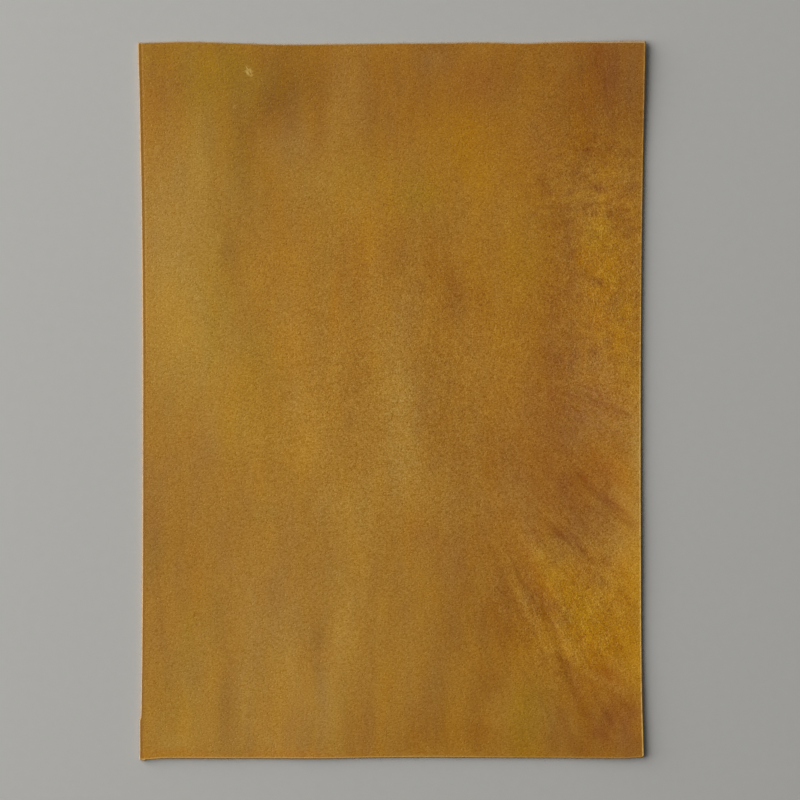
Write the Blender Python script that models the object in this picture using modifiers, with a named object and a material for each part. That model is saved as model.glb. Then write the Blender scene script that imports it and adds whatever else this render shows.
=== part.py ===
"""A cut sheet of vegetable tanned cowhide, lying flat with its grain side up.

It is one piece of hide, cut by hand to about the A4 size. The long sides bow in a little, the two
short cuts waver, two corners curl off the surface, and growth creases cross the grain at the belly
side. Metres, +Z up. The flat part of the flesh side lies at Z = 0, the head cut is at +Y, the belly
side at +X, and the origin is the middle of the sheet.
"""

import math
from collections import namedtuple

import bmesh
import bpy
from mathutils import Vector

# The cut
LENGTH = 0.2979
HEAD_WIDTH = 0.2105
WAIST_WIDTH = 0.2067
FOOT_WIDTH = 0.2089
HEAD_FLARE_POWER = 2.0
FOOT_FLARE_POWER = 3.0
THICKNESS = 0.0020

# Each short cut wavers: how far it stays inside the full length, at places across the sheet.
Waver = namedtuple("Waver", "across inset")
HEAD_CUT = (
    Waver(across=-0.105, inset=0.00065),
    Waver(across=-0.086, inset=0.00025),
    Waver(across=-0.042, inset=0.00135),
    Waver(across=0.012, inset=0.00075),
    Waver(across=0.038, inset=0.00045),
    Waver(across=0.054, inset=0.00080),
    Waver(across=0.072, inset=0.00030),
    Waver(across=0.105, inset=0.00000),
)
FOOT_CUT = (
    Waver(across=-0.105, inset=0.00000),
    Waver(across=-0.093, inset=0.00045),
    Waver(across=-0.038, inset=0.00035),
    Waver(across=0.016, inset=0.00090),
    Waver(across=0.062, inset=0.00065),
    Waver(across=0.095, inset=0.00055),
    Waver(across=0.105, inset=0.00100),
)

# Places where the sheet stands off the surface: the middle of each, how far it reaches and how high.
Lift = namedtuple("Lift", "across along reach_across reach_along height")
LIFTS = (
    Lift(across=0.1053, along=0.1490, reach_across=0.040, reach_along=0.052, height=0.0015),
    Lift(across=0.1045, along=-0.1490, reach_across=0.042, reach_along=0.060, height=0.0009),
    Lift(across=0.1040, along=-0.0650, reach_across=0.016, reach_along=0.045, height=0.0003),
    Lift(across=-0.1045, along=-0.1490, reach_across=0.030, reach_along=0.026, height=0.0004),
    Lift(across=-0.0740, along=-0.1490, reach_across=0.016, reach_along=0.040, height=0.0003),
    Lift(across=-0.0310, along=-0.1490, reach_across=0.020, reach_along=0.048, height=0.0004),
)

# Growth creases of the belly side, as troughs in the grain. Each runs from start to end through turn.
Crease = namedtuple("Crease", "start turn end reach depth")
CREASES = (
    Crease(start=(0.076, 0.064), turn=(0.081, 0.054), end=(0.089, 0.045), reach=0.0034, depth=0.00012),
    Crease(start=(0.080, 0.003), turn=(0.090, -0.002), end=(0.100, -0.008), reach=0.0034, depth=0.00015),
    Crease(start=(0.074, -0.031), turn=(0.089, -0.043), end=(0.103, -0.054), reach=0.0038, depth=0.00022),
    Crease(start=(0.064, -0.050), turn=(0.078, -0.061), end=(0.091, -0.069), reach=0.0036, depth=0.00018),
    Crease(start=(0.051, -0.065), turn=(0.065, -0.091), end=(0.077, -0.124), reach=0.0040, depth=0.00022),
    Crease(start=(0.071, -0.090), turn=(0.075, -0.096), end=(0.079, -0.100), reach=0.0034, depth=0.00012),
    Crease(start=(0.089, -0.101), turn=(0.094, -0.104), end=(0.100, -0.109), reach=0.0034, depth=0.00012),
)
CREASE_STEPS = 8

# The mesh that carries these forms: its columns stand closer at the belly side, where the creases are.
COLUMNS = 54
ROWS = 92
CROWDING = 0.45

# The tanned grain, as seen in daylight
SHEET_NAME = "leather_sheet"
LEATHER_COLOUR = (0.323, 0.153, 0.025, 1.0)
LEATHER_ROUGHNESS = 0.48
SHARP_ANGLE = math.radians(40)


def clear_scene():
    for obj in list(bpy.data.objects):
        bpy.data.objects.remove(obj, do_unlink=True)


def eased(share):
    """Share from 0 to 1, with a level start and end."""
    return share * share * (3.0 - 2.0 * share)


def inset_at(cut, across):
    """How far a short cut stays inside the full length at this place across the sheet."""
    if across <= cut[0].across:
        return cut[0].inset
    for here, beyond in zip(cut, cut[1:]):
        if across <= beyond.across:
            share = (across - here.across) / (beyond.across - here.across)
            return here.inset + (beyond.inset - here.inset) * eased(share)
    return cut[-1].inset


def half_width_at(along):
    """Half the sheet's width, with along from -1 at the foot to 1 at the head."""
    waist = WAIST_WIDTH / 2
    if along > 0:
        return waist + (HEAD_WIDTH / 2 - waist) * along**HEAD_FLARE_POWER
    return waist + (FOOT_WIDTH / 2 - waist) * (-along) ** FOOT_FLARE_POWER


def place_in_outline(column, row):
    """The point of the sheet for column and row, which both run from -1 to 1."""
    share = (column + 1) / 2
    crowded = share * (1 + CROWDING * (1 - share))
    across = (2 * crowded - 1) * half_width_at(row)
    head = LENGTH / 2 - inset_at(HEAD_CUT, across)
    foot = -LENGTH / 2 + inset_at(FOOT_CUT, across)
    along = foot + (head - foot) * (row + 1) / 2
    return across, along


def lift_at(across, along):
    """How far the flesh side stands off the surface. It is exactly 0 outside the lifts."""
    height = 0.0
    for lift in LIFTS:
        off_across = (across - lift.across) / lift.reach_across
        off_along = (along - lift.along) / lift.reach_along
        inside = max(0.0, 1.0 - off_across**2 - off_along**2)
        height += lift.height * inside**2
    return height


def crease_path(crease):
    """Points along the smooth curve that passes through the crease's start, turn and end."""
    start, turn, end = Vector(crease.start), Vector(crease.turn), Vector(crease.end)
    control = 2 * turn - (start + end) / 2
    path = []
    for step in range(CREASE_STEPS + 1):
        share = step / CREASE_STEPS
        path.append(start.lerp(control, share).lerp(control.lerp(end, share), share))
    return path


def crease_depth_at(point, crease, path):
    """The depth of one crease at a point. It fades to nothing at its sides and its ends."""
    deepest = 0.0
    for step, (here, beyond) in enumerate(zip(path, path[1:])):
        run = beyond - here
        share = max(0.0, min(1.0, (point - here).dot(run) / run.length_squared))
        off = (point - here - run * share).length / crease.reach
        if off < 1.0:
            travelled = (step + share) / CREASE_STEPS
            fade = 1.0 - (2.0 * travelled - 1.0) ** 4
            deepest = max(deepest, crease.depth * fade * (1.0 - off**2) ** 2)
    return deepest


def make_leather():
    material = bpy.data.materials.new("tanned_grain")
    material.use_nodes = True
    shader = material.node_tree.nodes["Principled BSDF"]
    shader.inputs["Base Color"].default_value = LEATHER_COLOUR
    shader.inputs["Roughness"].default_value = LEATHER_ROUGHNESS
    shader.inputs["Metallic"].default_value = 0.0
    return material


def flesh_side_mesh():
    """The underside as an open grid inside the outline, raised where the sheet stands off."""
    grid = bmesh.new()
    bmesh.ops.create_grid(grid, x_segments=COLUMNS, y_segments=ROWS, size=1.0)
    for vert in grid.verts:
        across, along = place_in_outline(vert.co.x, vert.co.y)
        vert.co = (across, along, lift_at(across, along))
    mesh = bpy.data.meshes.new(SHEET_NAME)
    grid.to_mesh(mesh)
    grid.free()
    return mesh


def set_substance(sheet):
    """Weights that thin the sheet along its creases, as a share of the full thickness."""
    substance = sheet.vertex_groups.new(name="substance")
    paths = [crease_path(crease) for crease in CREASES]
    for vert in sheet.data.vertices:
        point = vert.co.xy
        depth = max(crease_depth_at(point, crease, path) for crease, path in zip(CREASES, paths))
        substance.add([vert.index], 1.0 - depth / THICKNESS, "REPLACE")
    return substance


def thicken(sheet):
    """Solidify upwards from the flesh side, then keep the result as the sheet's own mesh."""
    shell = sheet.modifiers.new("thickness", "SOLIDIFY")
    shell.thickness = THICKNESS
    shell.offset = 1.0
    shell.vertex_group = set_substance(sheet).name
    graph = bpy.context.evaluated_depsgraph_get()
    solid = bpy.data.meshes.new_from_object(sheet.evaluated_get(graph))
    sheet.modifiers.clear()
    sheet.vertex_groups.clear()
    sheet.data = solid
    solid.name = SHEET_NAME
    solid.shade_smooth()
    solid.set_sharp_from_angle(angle=SHARP_ANGLE)


def build_leather_sheet():
    collection = bpy.data.collections.new("cowhide_leather")
    bpy.context.scene.collection.children.link(collection)
    sheet = bpy.data.objects.new(SHEET_NAME, flesh_side_mesh())
    collection.objects.link(sheet)
    thicken(sheet)
    sheet.data.materials.append(make_leather())


clear_scene()
build_leather_sheet()
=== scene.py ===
"""The looks of one cut sheet of vegetable tanned cowhide, lying flat with its grain side up.

Run as a script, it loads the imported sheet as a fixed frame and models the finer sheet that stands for
it, with its creases, cut edges and loose fibres. It gives them the grain, the drifts of colour, the raw
edge and the flesh side, and sets the stage. Metres, +Z up, head cut at +Y, belly side at +X.
"""

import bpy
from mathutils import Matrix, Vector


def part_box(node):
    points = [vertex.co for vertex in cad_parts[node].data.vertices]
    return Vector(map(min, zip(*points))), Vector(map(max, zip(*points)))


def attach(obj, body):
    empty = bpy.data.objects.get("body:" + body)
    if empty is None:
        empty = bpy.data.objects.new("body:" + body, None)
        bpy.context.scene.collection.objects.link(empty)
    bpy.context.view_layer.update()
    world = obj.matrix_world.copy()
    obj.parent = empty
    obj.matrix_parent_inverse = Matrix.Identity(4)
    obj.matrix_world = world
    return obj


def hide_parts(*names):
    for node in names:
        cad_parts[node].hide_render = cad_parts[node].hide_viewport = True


bl_info = {
    "name": "Cowhide cut",
    "version": (1, 0, 0),
    "blender": (4, 5, 0),
    "location": "View3D > Sidebar > Cowhide",
    "description": "Models a cut sheet of vegetable tanned cowhide and the studio that it lies in",
    "category": "Add Mesh",
}

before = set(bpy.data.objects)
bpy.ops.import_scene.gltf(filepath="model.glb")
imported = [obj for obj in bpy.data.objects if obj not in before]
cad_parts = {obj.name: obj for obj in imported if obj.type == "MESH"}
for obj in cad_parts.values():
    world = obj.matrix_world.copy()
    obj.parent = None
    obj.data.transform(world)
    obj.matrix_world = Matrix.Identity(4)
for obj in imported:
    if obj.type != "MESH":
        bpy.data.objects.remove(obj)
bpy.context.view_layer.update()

import math
import random
from collections import namedtuple

import bmesh
import bpy
import numpy as np
from bpy.props import FloatProperty, FloatVectorProperty, IntProperty, PointerProperty
from mathutils import Matrix, Vector, noise

# Pieces, and what they stand for
SOLID_NODE = "leather_sheet"
SOLID_BODY = "root"
SHEET_PIECE = "cut_leather"
FIBRE_PIECE = "edge_fibres"

# The cut, from the solid's own box
SOLID_LOW, SOLID_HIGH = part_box(SOLID_NODE)
LENGTH = SOLID_HIGH.y - SOLID_LOW.y
HEAD_WIDTH = SOLID_HIGH.x - SOLID_LOW.x
WAIST_WIDTH = 0.2067
FOOT_WIDTH = 0.2089
HEAD_FLARE_POWER = 2.0
FOOT_FLARE_POWER = 3.0

# Each short cut wavers: how far it stays inside the full length, at places across the sheet.
Waver = namedtuple("Waver", "across inset")
HEAD_CUT = (
    Waver(across=-0.105, inset=0.00065),
    Waver(across=-0.086, inset=0.00025),
    Waver(across=-0.042, inset=0.00135),
    Waver(across=0.012, inset=0.00075),
    Waver(across=0.038, inset=0.00045),
    Waver(across=0.054, inset=0.00080),
    Waver(across=0.072, inset=0.00030),
    Waver(across=0.105, inset=0.00000),
)
FOOT_CUT = (
    Waver(across=-0.105, inset=0.00000),
    Waver(across=-0.093, inset=0.00045),
    Waver(across=-0.038, inset=0.00035),
    Waver(across=0.016, inset=0.00090),
    Waver(across=0.062, inset=0.00065),
    Waver(across=0.095, inset=0.00055),
    Waver(across=0.105, inset=0.00100),
)

# The short cuts by the end that they lie at: -1 at the foot, 1 at the head
END_CUTS = {-1: FOOT_CUT, 1: HEAD_CUT}

# Places where the sheet stands off the surface: the middle of each, how far it reaches and how high.
Lift = namedtuple("Lift", "across along reach_across reach_along height")
LIFTS = (
    Lift(across=0.1053, along=0.1490, reach_across=0.040, reach_along=0.052, height=0.0015),
    Lift(across=0.1045, along=-0.1490, reach_across=0.042, reach_along=0.060, height=0.0009),
    Lift(across=0.1040, along=-0.0650, reach_across=0.016, reach_along=0.045, height=0.0003),
    Lift(across=-0.1045, along=-0.1490, reach_across=0.030, reach_along=0.026, height=0.0004),
    Lift(across=-0.0740, along=-0.1490, reach_across=0.016, reach_along=0.040, height=0.0003),
    Lift(across=-0.0310, along=-0.1490, reach_across=0.020, reach_along=0.048, height=0.0004),
)

# Growth creases, as soft troughs with a low lip: the points that each passes through, its half width, its
# depth, and how much shade is painted in it. The first seven are the solid's own.
Crease = namedtuple("Crease", "points half_width depth shade")
CREASES = (
    Crease(((0.076, 0.064), (0.081, 0.054), (0.089, 0.045)), 0.0026, 0.00011, 0.34),
    Crease(((0.080, 0.003), (0.085, -0.001), (0.091, -0.003), (0.095, -0.005), (0.100, -0.008)),
           0.0026, 0.00015, 0.62),
    Crease(((0.076, -0.030), (0.081, -0.034), (0.086, -0.039), (0.092, -0.044), (0.097, -0.049),
            (0.103, -0.054)), 0.0028, 0.00021, 0.68),
    Crease(((0.064, -0.050), (0.070, -0.055), (0.077, -0.060), (0.083, -0.066), (0.091, -0.069)),
           0.0028, 0.00018, 0.62),
    Crease(((0.051, -0.065), (0.053, -0.071), (0.057, -0.077), (0.061, -0.082), (0.064, -0.087),
            (0.067, -0.095), (0.070, -0.103), (0.072, -0.110), (0.075, -0.117), (0.077, -0.124)),
           0.0034, 0.00021, 0.46),
    Crease(((0.071, -0.090), (0.075, -0.096), (0.079, -0.100)), 0.0030, 0.00012, 0.45),
    Crease(((0.089, -0.101), (0.094, -0.104), (0.100, -0.109)), 0.0026, 0.00012, 0.41),
    # Finer wrinkles beside them
    Crease(((0.068, -0.034), (0.074, -0.041), (0.081, -0.050), (0.086, -0.056)), 0.0024, 0.00007, 0.17),
    Crease(((0.055, -0.041), (0.063, -0.048), (0.068, -0.053)), 0.0020, 0.00005, 0.17),
    Crease(((0.060, -0.066), (0.066, -0.073), (0.070, -0.079)), 0.0022, 0.00006, 0.08),
    Crease(((0.057, -0.066), (0.060, -0.072), (0.064, -0.078), (0.069, -0.085)), 0.0020, 0.00008, 0.19),
    Crease(((0.094, -0.078), (0.098, -0.083), (0.103, -0.087)), 0.0024, 0.00010, 0.32),
    Crease(((0.079, -0.127), (0.082, -0.134), (0.085, -0.140)), 0.0026, 0.00008, 0.26),
    Crease(((0.084, -0.120), (0.089, -0.127), (0.093, -0.134)), 0.0030, 0.00010, 0.26),
    Crease(((0.095, -0.124), (0.098, -0.127), (0.102, -0.131)), 0.0026, 0.00008, 0.32),
    Crease(((0.045, -0.073), (0.050, -0.082), (0.054, -0.089)), 0.0024, 0.00006, 0.15),
    Crease(((0.040, -0.060), (0.045, -0.067), (0.049, -0.075)), 0.0022, 0.00005, 0.11),
    Crease(((0.064, -0.098), (0.067, -0.106), (0.070, -0.115)), 0.0020, 0.00006, 0.14),
    Crease(((0.083, -0.005), (0.089, -0.010), (0.094, -0.017), (0.099, -0.021)), 0.0026, 0.00006, 0.12),
    Crease(((0.072, -0.009), (0.078, -0.016), (0.084, -0.022)), 0.0024, 0.00005, 0.11),
    Crease(((0.087, 0.032), (0.093, 0.026), (0.099, 0.022)), 0.0020, 0.00006, 0.28),
    Crease(((0.080, 0.056), (0.084, 0.051), (0.088, 0.047), (0.095, 0.043)), 0.0018, 0.00007, 0.40),
    Crease(((0.070, 0.086), (0.071, 0.076), (0.073, 0.066), (0.076, 0.058)), 0.0024, 0.00005, 0.34),
)
CORNER_CUTS = 2
# The lip beside a crease: its half width in half widths of the crease, and its height by the crease's depth
LIP_WIDTH = 1.1
LIP_SHARE = 0.22

# The mesh pitch across the sheet and along it, from the -X side and from the foot
Stretch = namedtuple("Stretch", "until pitch")
COLUMN_STRETCHES = (
    Stretch(until=0.0028, pitch=0.00040),
    Stretch(until=0.1300, pitch=0.00150),
    Stretch(until=HEAD_WIDTH - 0.0016, pitch=0.00100),
    Stretch(until=HEAD_WIDTH, pitch=0.00040),
)
ROW_STRETCHES = (
    Stretch(until=0.0024, pitch=0.00040),
    Stretch(until=0.1500, pitch=0.00130),
    Stretch(until=LENGTH - 0.0016, pitch=0.00140),
    Stretch(until=LENGTH, pitch=0.00040),
)

# Drifts of the dye by the tint that each leans to, and below them where the streaks run straight (combed)
# or spread out (fan), and where the grain is loose or mottled. Some drifts also carry painted light:
# painted shade darkens the head end and, with the dye's own dark, the corner at the head of the +X side,
# and painted light brightens the foot half. Every patch has its middle, its breadth and length at half
# strength, its strength in the middle, and its lean in degrees to the right of the sheet's length.
Patch = namedtuple("Patch", "across along wide long strength lean", defaults=(0,))
DRIFTS = {
    "pale": (
        Patch(-0.091, -0.144, 0.009, 0.004, 0.18),
        Patch(-0.057, -0.095, 0.006, 0.011, 0.26),
        Patch(-0.005, 0.007, 0.006, 0.014, 0.25),
        Patch(-0.078, 0.044, 0.007, 0.014, 0.12),
        Patch(0.067, -0.106, 0.005, 0.007, 0.20),
        Patch(0.062, -0.059, 0.006, 0.008, 0.24),
        Patch(-0.038, -0.122, 0.011, 0.013, 0.22),
        Patch(0.100, -0.135, 0.004, 0.006, 0.16),
        Patch(-0.026, 0.092, 0.009, 0.007, 0.25),
        Patch(-0.014, 0.082, 0.006, 0.008, 0.22),
        Patch(-0.074, 0.066, 0.007, 0.017, 0.22),
        Patch(0.060, -0.043, 0.006, 0.005, 0.24),
        Patch(-0.090, -0.102, 0.006, 0.008, 0.24),
        Patch(0.061, -0.084, 0.005, 0.006, 0.30),
        Patch(0.067, -0.104, 0.005, 0.006, 0.32),
        Patch(-0.090, -0.142, 0.008, 0.005, 0.30),
        Patch(-0.067, 0.108, 0.008, 0.018, 0.26),
        Patch(-0.098, 0.012, 0.006, 0.009, 0.32),
        Patch(-0.068, 0.088, 0.006, 0.018, 0.26),
        Patch(-0.041, 0.036, 0.009, 0.022, 0.30),
        Patch(0.077, -0.017, 0.006, 0.006, 0.32),
        Patch(-0.055, 0.136, 0.011, 0.008, 0.28),
        Patch(-0.039, 0.003, 0.007, 0.013, 0.28),
        Patch(0.080, 0.013, 0.010, 0.006, 0.25),
        Patch(0.064, 0.003, 0.007, 0.006, 0.27),
        Patch(-0.008, 0.026, 0.005, 0.009, 0.28),
        Patch(-0.028, -0.044, 0.009, 0.013, 0.28),
        Patch(-0.027, -0.105, 0.006, 0.006, 0.26),
        Patch(-0.092, 0.078, 0.026, 0.050, 0.42),
        Patch(-0.090, 0.040, 0.030, 0.040, 0.58),
        Patch(-0.079, 0.100, 0.010, 0.040, 0.40),
        Patch(-0.017, 0.125, 0.009, 0.034, 0.30),
        Patch(-0.012, 0.090, 0.022, 0.020, 0.22),
        Patch(0.003, 0.012, 0.010, 0.050, 0.40, lean=-12),
        Patch(0.006, -0.020, 0.012, 0.030, 0.35),
        Patch(-0.017, -0.044, 0.012, 0.026, 0.30),
        Patch(-0.032, -0.016, 0.012, 0.034, 0.30),
        Patch(-0.060, -0.012, 0.020, 0.022, 0.22),
        Patch(-0.020, -0.098, 0.008, 0.034, 0.38),
        Patch(-0.045, -0.108, 0.011, 0.034, 0.34),
        Patch(-0.058, -0.122, 0.010, 0.024, 0.25),
        Patch(-0.043, 0.105, 0.020, 0.016, 0.20),
        Patch(0.095, -0.030, 0.012, 0.014, 0.40),
        Patch(0.101, -0.012, 0.006, 0.040, 0.40),
        Patch(0.097, -0.098, 0.005, 0.028, 0.35, lean=-20),
        Patch(0.098, -0.012, 0.010, 0.026, 0.45, lean=-25),
        Patch(0.093, -0.114, 0.016, 0.014, 0.60, lean=-20),
        Patch(0.050, -0.036, 0.020, 0.010, 0.35, lean=-40),
        Patch(0.022, -0.028, 0.006, 0.026, 0.35),
        Patch(-0.022, 0.016, 0.006, 0.024, 0.25),
        Patch(-0.024, 0.120, 0.006, 0.024, 0.35),
        Patch(0.086, -0.012, 0.012, 0.016, 0.25),
        Patch(0.020, -0.040, 0.030, 0.020, 0.10),
        Patch(-0.074, 0.008, 0.020, 0.040, 0.22),
        Patch(-0.038, -0.004, 0.012, 0.044, 0.22),
        Patch(-0.084, -0.114, 0.014, 0.024, 0.20),
        # Painted light: the sheet lighter towards the foot
        Patch(-0.030, -0.080, 0.180, 0.160, 0.16),
        Patch(0.092, -0.056, 0.024, 0.030, 0.32, lean=-30),
        Patch(-0.024, 0.074, 0.012, 0.050, 0.18),
        Patch(0.085, 0.070, 0.010, 0.010, 0.20),
        Patch(0.098, 0.012, 0.008, 0.014, 0.25),
        Patch(0.086, 0.006, 0.014, 0.012, 0.32, lean=-30),
        Patch(0.094, -0.004, 0.014, 0.010, 0.25, lean=-30),
        Patch(-0.060, 0.126, 0.016, 0.016, 0.22),
        Patch(-0.036, 0.091, 0.014, 0.016, 0.28),
        Patch(-0.084, 0.018, 0.034, 0.026, 0.22),
        Patch(0.000, -0.006, 0.008, 0.014, 0.20),
        Patch(-0.054, -0.138, 0.050, 0.012, 0.12),
        Patch(0.001, -0.030, 0.014, 0.040, 0.18),
        Patch(0.074, -0.058, 0.030, 0.014, 0.24, lean=-30),
        Patch(0.096, -0.054, 0.008, 0.014, 0.24),
        Patch(0.072, 0.084, 0.010, 0.018, 0.30),
        Patch(-0.024, -0.126, 0.012, 0.020, 0.26),
        Patch(-0.092, -0.138, 0.016, 0.012, 0.20),
        Patch(0.048, -0.006, 0.010, 0.010, 0.20),
        Patch(-0.060, -0.088, 0.012, 0.050, 0.16),
        Patch(-0.018, -0.072, 0.016, 0.040, 0.14),
        Patch(0.085, 0.000, 0.010, 0.016, 0.18),
    ),
    "cool": (
        Patch(-0.091, -0.144, 0.009, 0.004, 0.20),
        Patch(0.089, 0.054, 0.005, 0.006, 0.15),
        Patch(-0.078, 0.044, 0.007, 0.014, 0.28),
        Patch(0.078, 0.138, 0.007, 0.008, 0.28),
        Patch(-0.100, 0.136, 0.004, 0.010, 0.20),
        Patch(-0.053, -0.047, 0.011, 0.008, 0.45),
        Patch(-0.060, -0.122, 0.090, 0.064, 0.40),
        Patch(-0.027, -0.126, 0.008, 0.044, 0.55),
        Patch(-0.040, -0.080, 0.090, 0.050, 0.12),
        Patch(-0.078, -0.016, 0.010, 0.026, 0.45),
        Patch(0.098, 0.134, 0.018, 0.044, 0.60),
        Patch(0.064, 0.086, 0.018, 0.040, 0.10),
        Patch(0.080, -0.050, 0.030, 0.020, 0.22, lean=-30),
        Patch(0.078, -0.010, 0.022, 0.014, 0.55, lean=-20),
        Patch(0.027, -0.060, 0.014, 0.060, 0.18),
        Patch(-0.092, 0.064, 0.014, 0.030, 0.25),
        Patch(0.095, -0.138, 0.024, 0.020, 0.35),
        Patch(0.040, -0.106, 0.008, 0.024, 0.15, lean=-20),
        Patch(0.080, 0.022, 0.020, 0.030, 0.40),
        Patch(-0.092, 0.085, 0.026, 0.050, 0.35),
        Patch(-0.067, 0.060, 0.006, 0.012, 0.45),
        Patch(-0.043, 0.108, 0.016, 0.022, 0.45),
        Patch(-0.017, 0.128, 0.012, 0.026, 0.30),
        Patch(0.018, 0.140, 0.012, 0.012, 0.60),
        Patch(-0.072, -0.055, 0.034, 0.036, 0.10),
        Patch(-0.100, -0.040, 0.012, 0.050, 0.40),
        Patch(-0.045, -0.086, 0.020, 0.026, 0.45),
        Patch(-0.017, -0.045, 0.016, 0.026, 0.30),
        Patch(0.018, -0.118, 0.012, 0.044, 0.30),
        Patch(0.006, -0.010, 0.016, 0.040, 0.35),
        Patch(0.004, 0.030, 0.010, 0.030, 0.30),
        Patch(0.064, -0.132, 0.018, 0.020, 0.45),
        Patch(0.092, -0.014, 0.014, 0.030, 0.20),
        Patch(0.086, 0.014, 0.008, 0.008, 0.35),
        Patch(0.072, 0.062, 0.009, 0.012, 0.35),
        Patch(-0.042, -0.054, 0.020, 0.024, 0.25),
        Patch(-0.048, -0.138, 0.060, 0.016, 0.25),
        Patch(0.062, -0.036, 0.020, 0.030, 0.20),
        Patch(0.048, 0.122, 0.016, 0.040, 0.18),
        Patch(-0.087, 0.004, 0.024, 0.030, 0.32),
        Patch(-0.048, 0.126, 0.014, 0.016, 0.36),
        Patch(-0.028, 0.108, 0.014, 0.014, 0.20),
        Patch(-0.075, 0.055, 0.050, 0.090, 0.10),
        Patch(-0.098, -0.054, 0.014, 0.040, 0.22),
    ),
    "dark_dye_and_shade": (
        Patch(0.056, -0.089, 0.005, 0.009, 0.28),
        Patch(0.089, 0.054, 0.005, 0.006, 0.32),
        Patch(-0.040, 0.146, 0.020, 0.006, 0.26),
        Patch(0.101, -0.009, 0.004, 0.018, 0.22),
        Patch(0.043, 0.062, 0.006, 0.015, 0.18),
        Patch(0.101, 0.038, 0.005, 0.006, 0.30),
        Patch(0.020, 0.146, 0.009, 0.006, 0.24),
        Patch(0.062, -0.117, 0.011, 0.009, 0.26),
        Patch(0.055, -0.029, 0.009, 0.007, 0.22),
        Patch(0.078, 0.138, 0.007, 0.008, 0.16),
        Patch(0.079, -0.009, 0.007, 0.006, 0.24),
        Patch(0.074, -0.127, 0.007, 0.007, 0.27),
        Patch(0.026, 0.125, 0.009, 0.009, 0.24),
        Patch(0.091, -0.072, 0.005, 0.015, 0.22),
        Patch(-0.100, 0.136, 0.004, 0.010, 0.26),
        Patch(0.101, -0.008, 0.004, 0.010, 0.38),
        Patch(0.080, 0.146, 0.034, 0.007, 0.36),
        Patch(-0.099, 0.146, 0.009, 0.010, 0.36),
        Patch(0.078, -0.145, 0.009, 0.006, 0.38),
        Patch(0.020, 0.146, 0.014, 0.006, 0.32),
        Patch(0.102, -0.099, 0.005, 0.016, 0.36),
        Patch(0.092, -0.070, 0.006, 0.011, 0.32),
        Patch(-0.073, 0.146, 0.009, 0.006, 0.32),
        Patch(0.093, -0.118, 0.009, 0.008, 0.28),
        Patch(0.054, 0.034, 0.010, 0.009, 0.30),
        Patch(0.092, -0.036, 0.007, 0.006, 0.30),
        Patch(0.043, -0.118, 0.009, 0.008, 0.28),
        Patch(0.083, -0.115, 0.009, 0.006, 0.22),
        Patch(-0.001, 0.060, 0.007, 0.005, 0.28),
        Patch(-0.053, -0.047, 0.011, 0.008, 0.12),
        # Partly the dye's own dark and partly painted shade, in the corner at the head of the +X side
        Patch(0.098, 0.132, 0.044, 0.054, 1.08),
        Patch(0.070, 0.122, 0.030, 0.054, 0.22),
        Patch(0.062, 0.084, 0.014, 0.034, 0.28),
        Patch(-0.048, 0.132, 0.018, 0.036, 0.45),
        Patch(0.080, -0.050, 0.024, 0.016, 0.38, lean=-30),
        Patch(0.083, -0.126, 0.008, 0.030, 0.15, lean=-30),
        Patch(0.092, -0.124, 0.024, 0.008, 0.40, lean=-60),
        Patch(0.093, -0.103, 0.009, 0.005, 0.50, lean=-56),
        Patch(0.073, -0.115, 0.006, 0.018, 0.35, lean=-20),
        Patch(0.078, -0.010, 0.018, 0.012, 0.08, lean=-20),
        Patch(0.027, -0.060, 0.010, 0.050, 0.30),
        Patch(-0.030, 0.130, 0.120, 0.034, 0.30),
        Patch(-0.036, 0.104, 0.050, 0.030, 0.22),
        Patch(0.030, 0.140, 0.070, 0.020, 0.30),
        Patch(0.080, 0.104, 0.012, 0.010, 0.45),
        Patch(0.050, 0.128, 0.016, 0.030, 0.25),
        Patch(-0.048, 0.126, 0.018, 0.026, 0.40),
        Patch(-0.064, 0.116, 0.012, 0.044, 0.32),
        Patch(-0.062, 0.088, 0.010, 0.030, 0.22),
        Patch(-0.067, 0.060, 0.007, 0.014, 0.55),
        Patch(-0.094, 0.128, 0.022, 0.026, 0.25),
        Patch(-0.030, 0.132, 0.012, 0.022, 0.22),
        Patch(0.005, 0.124, 0.040, 0.024, 0.16),
        Patch(0.069, 0.076, 0.010, 0.050, 0.35),
        Patch(0.068, 0.030, 0.014, 0.050, 0.50),
        Patch(0.072, 0.004, 0.022, 0.026, 0.38),
        Patch(0.082, 0.001, 0.012, 0.012, 0.30, lean=-40),
        Patch(0.018, 0.056, 0.016, 0.028, 0.40, lean=-20),
        Patch(0.027, 0.046, 0.007, 0.014, 0.45),
        Patch(0.025, 0.034, 0.010, 0.012, 0.25),
        Patch(0.014, 0.002, 0.012, 0.044, 0.28),
        Patch(-0.018, 0.045, 0.007, 0.030, 0.22),
        Patch(-0.018, 0.006, 0.007, 0.034, 0.16),
        Patch(-0.057, 0.038, 0.008, 0.012, 0.25),
        Patch(0.074, -0.034, 0.036, 0.034, 0.38, lean=-35),
        Patch(0.060, -0.022, 0.030, 0.034, 0.28),
        Patch(0.040, -0.024, 0.026, 0.036, 0.24),
        Patch(0.022, -0.020, 0.014, 0.040, 0.30),
        Patch(0.068, -0.054, 0.016, 0.014, 0.32, lean=-35),
        Patch(0.048, -0.064, 0.026, 0.026, 0.30, lean=-20),
        Patch(0.043, -0.090, 0.026, 0.032, 0.62, lean=-20),
        Patch(0.022, -0.095, 0.014, 0.040, 0.30),
        Patch(0.040, -0.116, 0.012, 0.014, 0.35),
        Patch(0.018, -0.128, 0.010, 0.032, 0.34),
        Patch(0.033, -0.136, 0.008, 0.024, 0.30),
        Patch(-0.002, -0.062, 0.016, 0.044, 0.22),
        Patch(0.088, -0.143, 0.044, 0.022, 0.72),
        Patch(0.076, -0.142, 0.016, 0.012, 0.35),
        Patch(0.092, -0.128, 0.022, 0.018, 0.40, lean=-30),
        Patch(-0.100, -0.046, 0.014, 0.040, 0.30),
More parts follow.
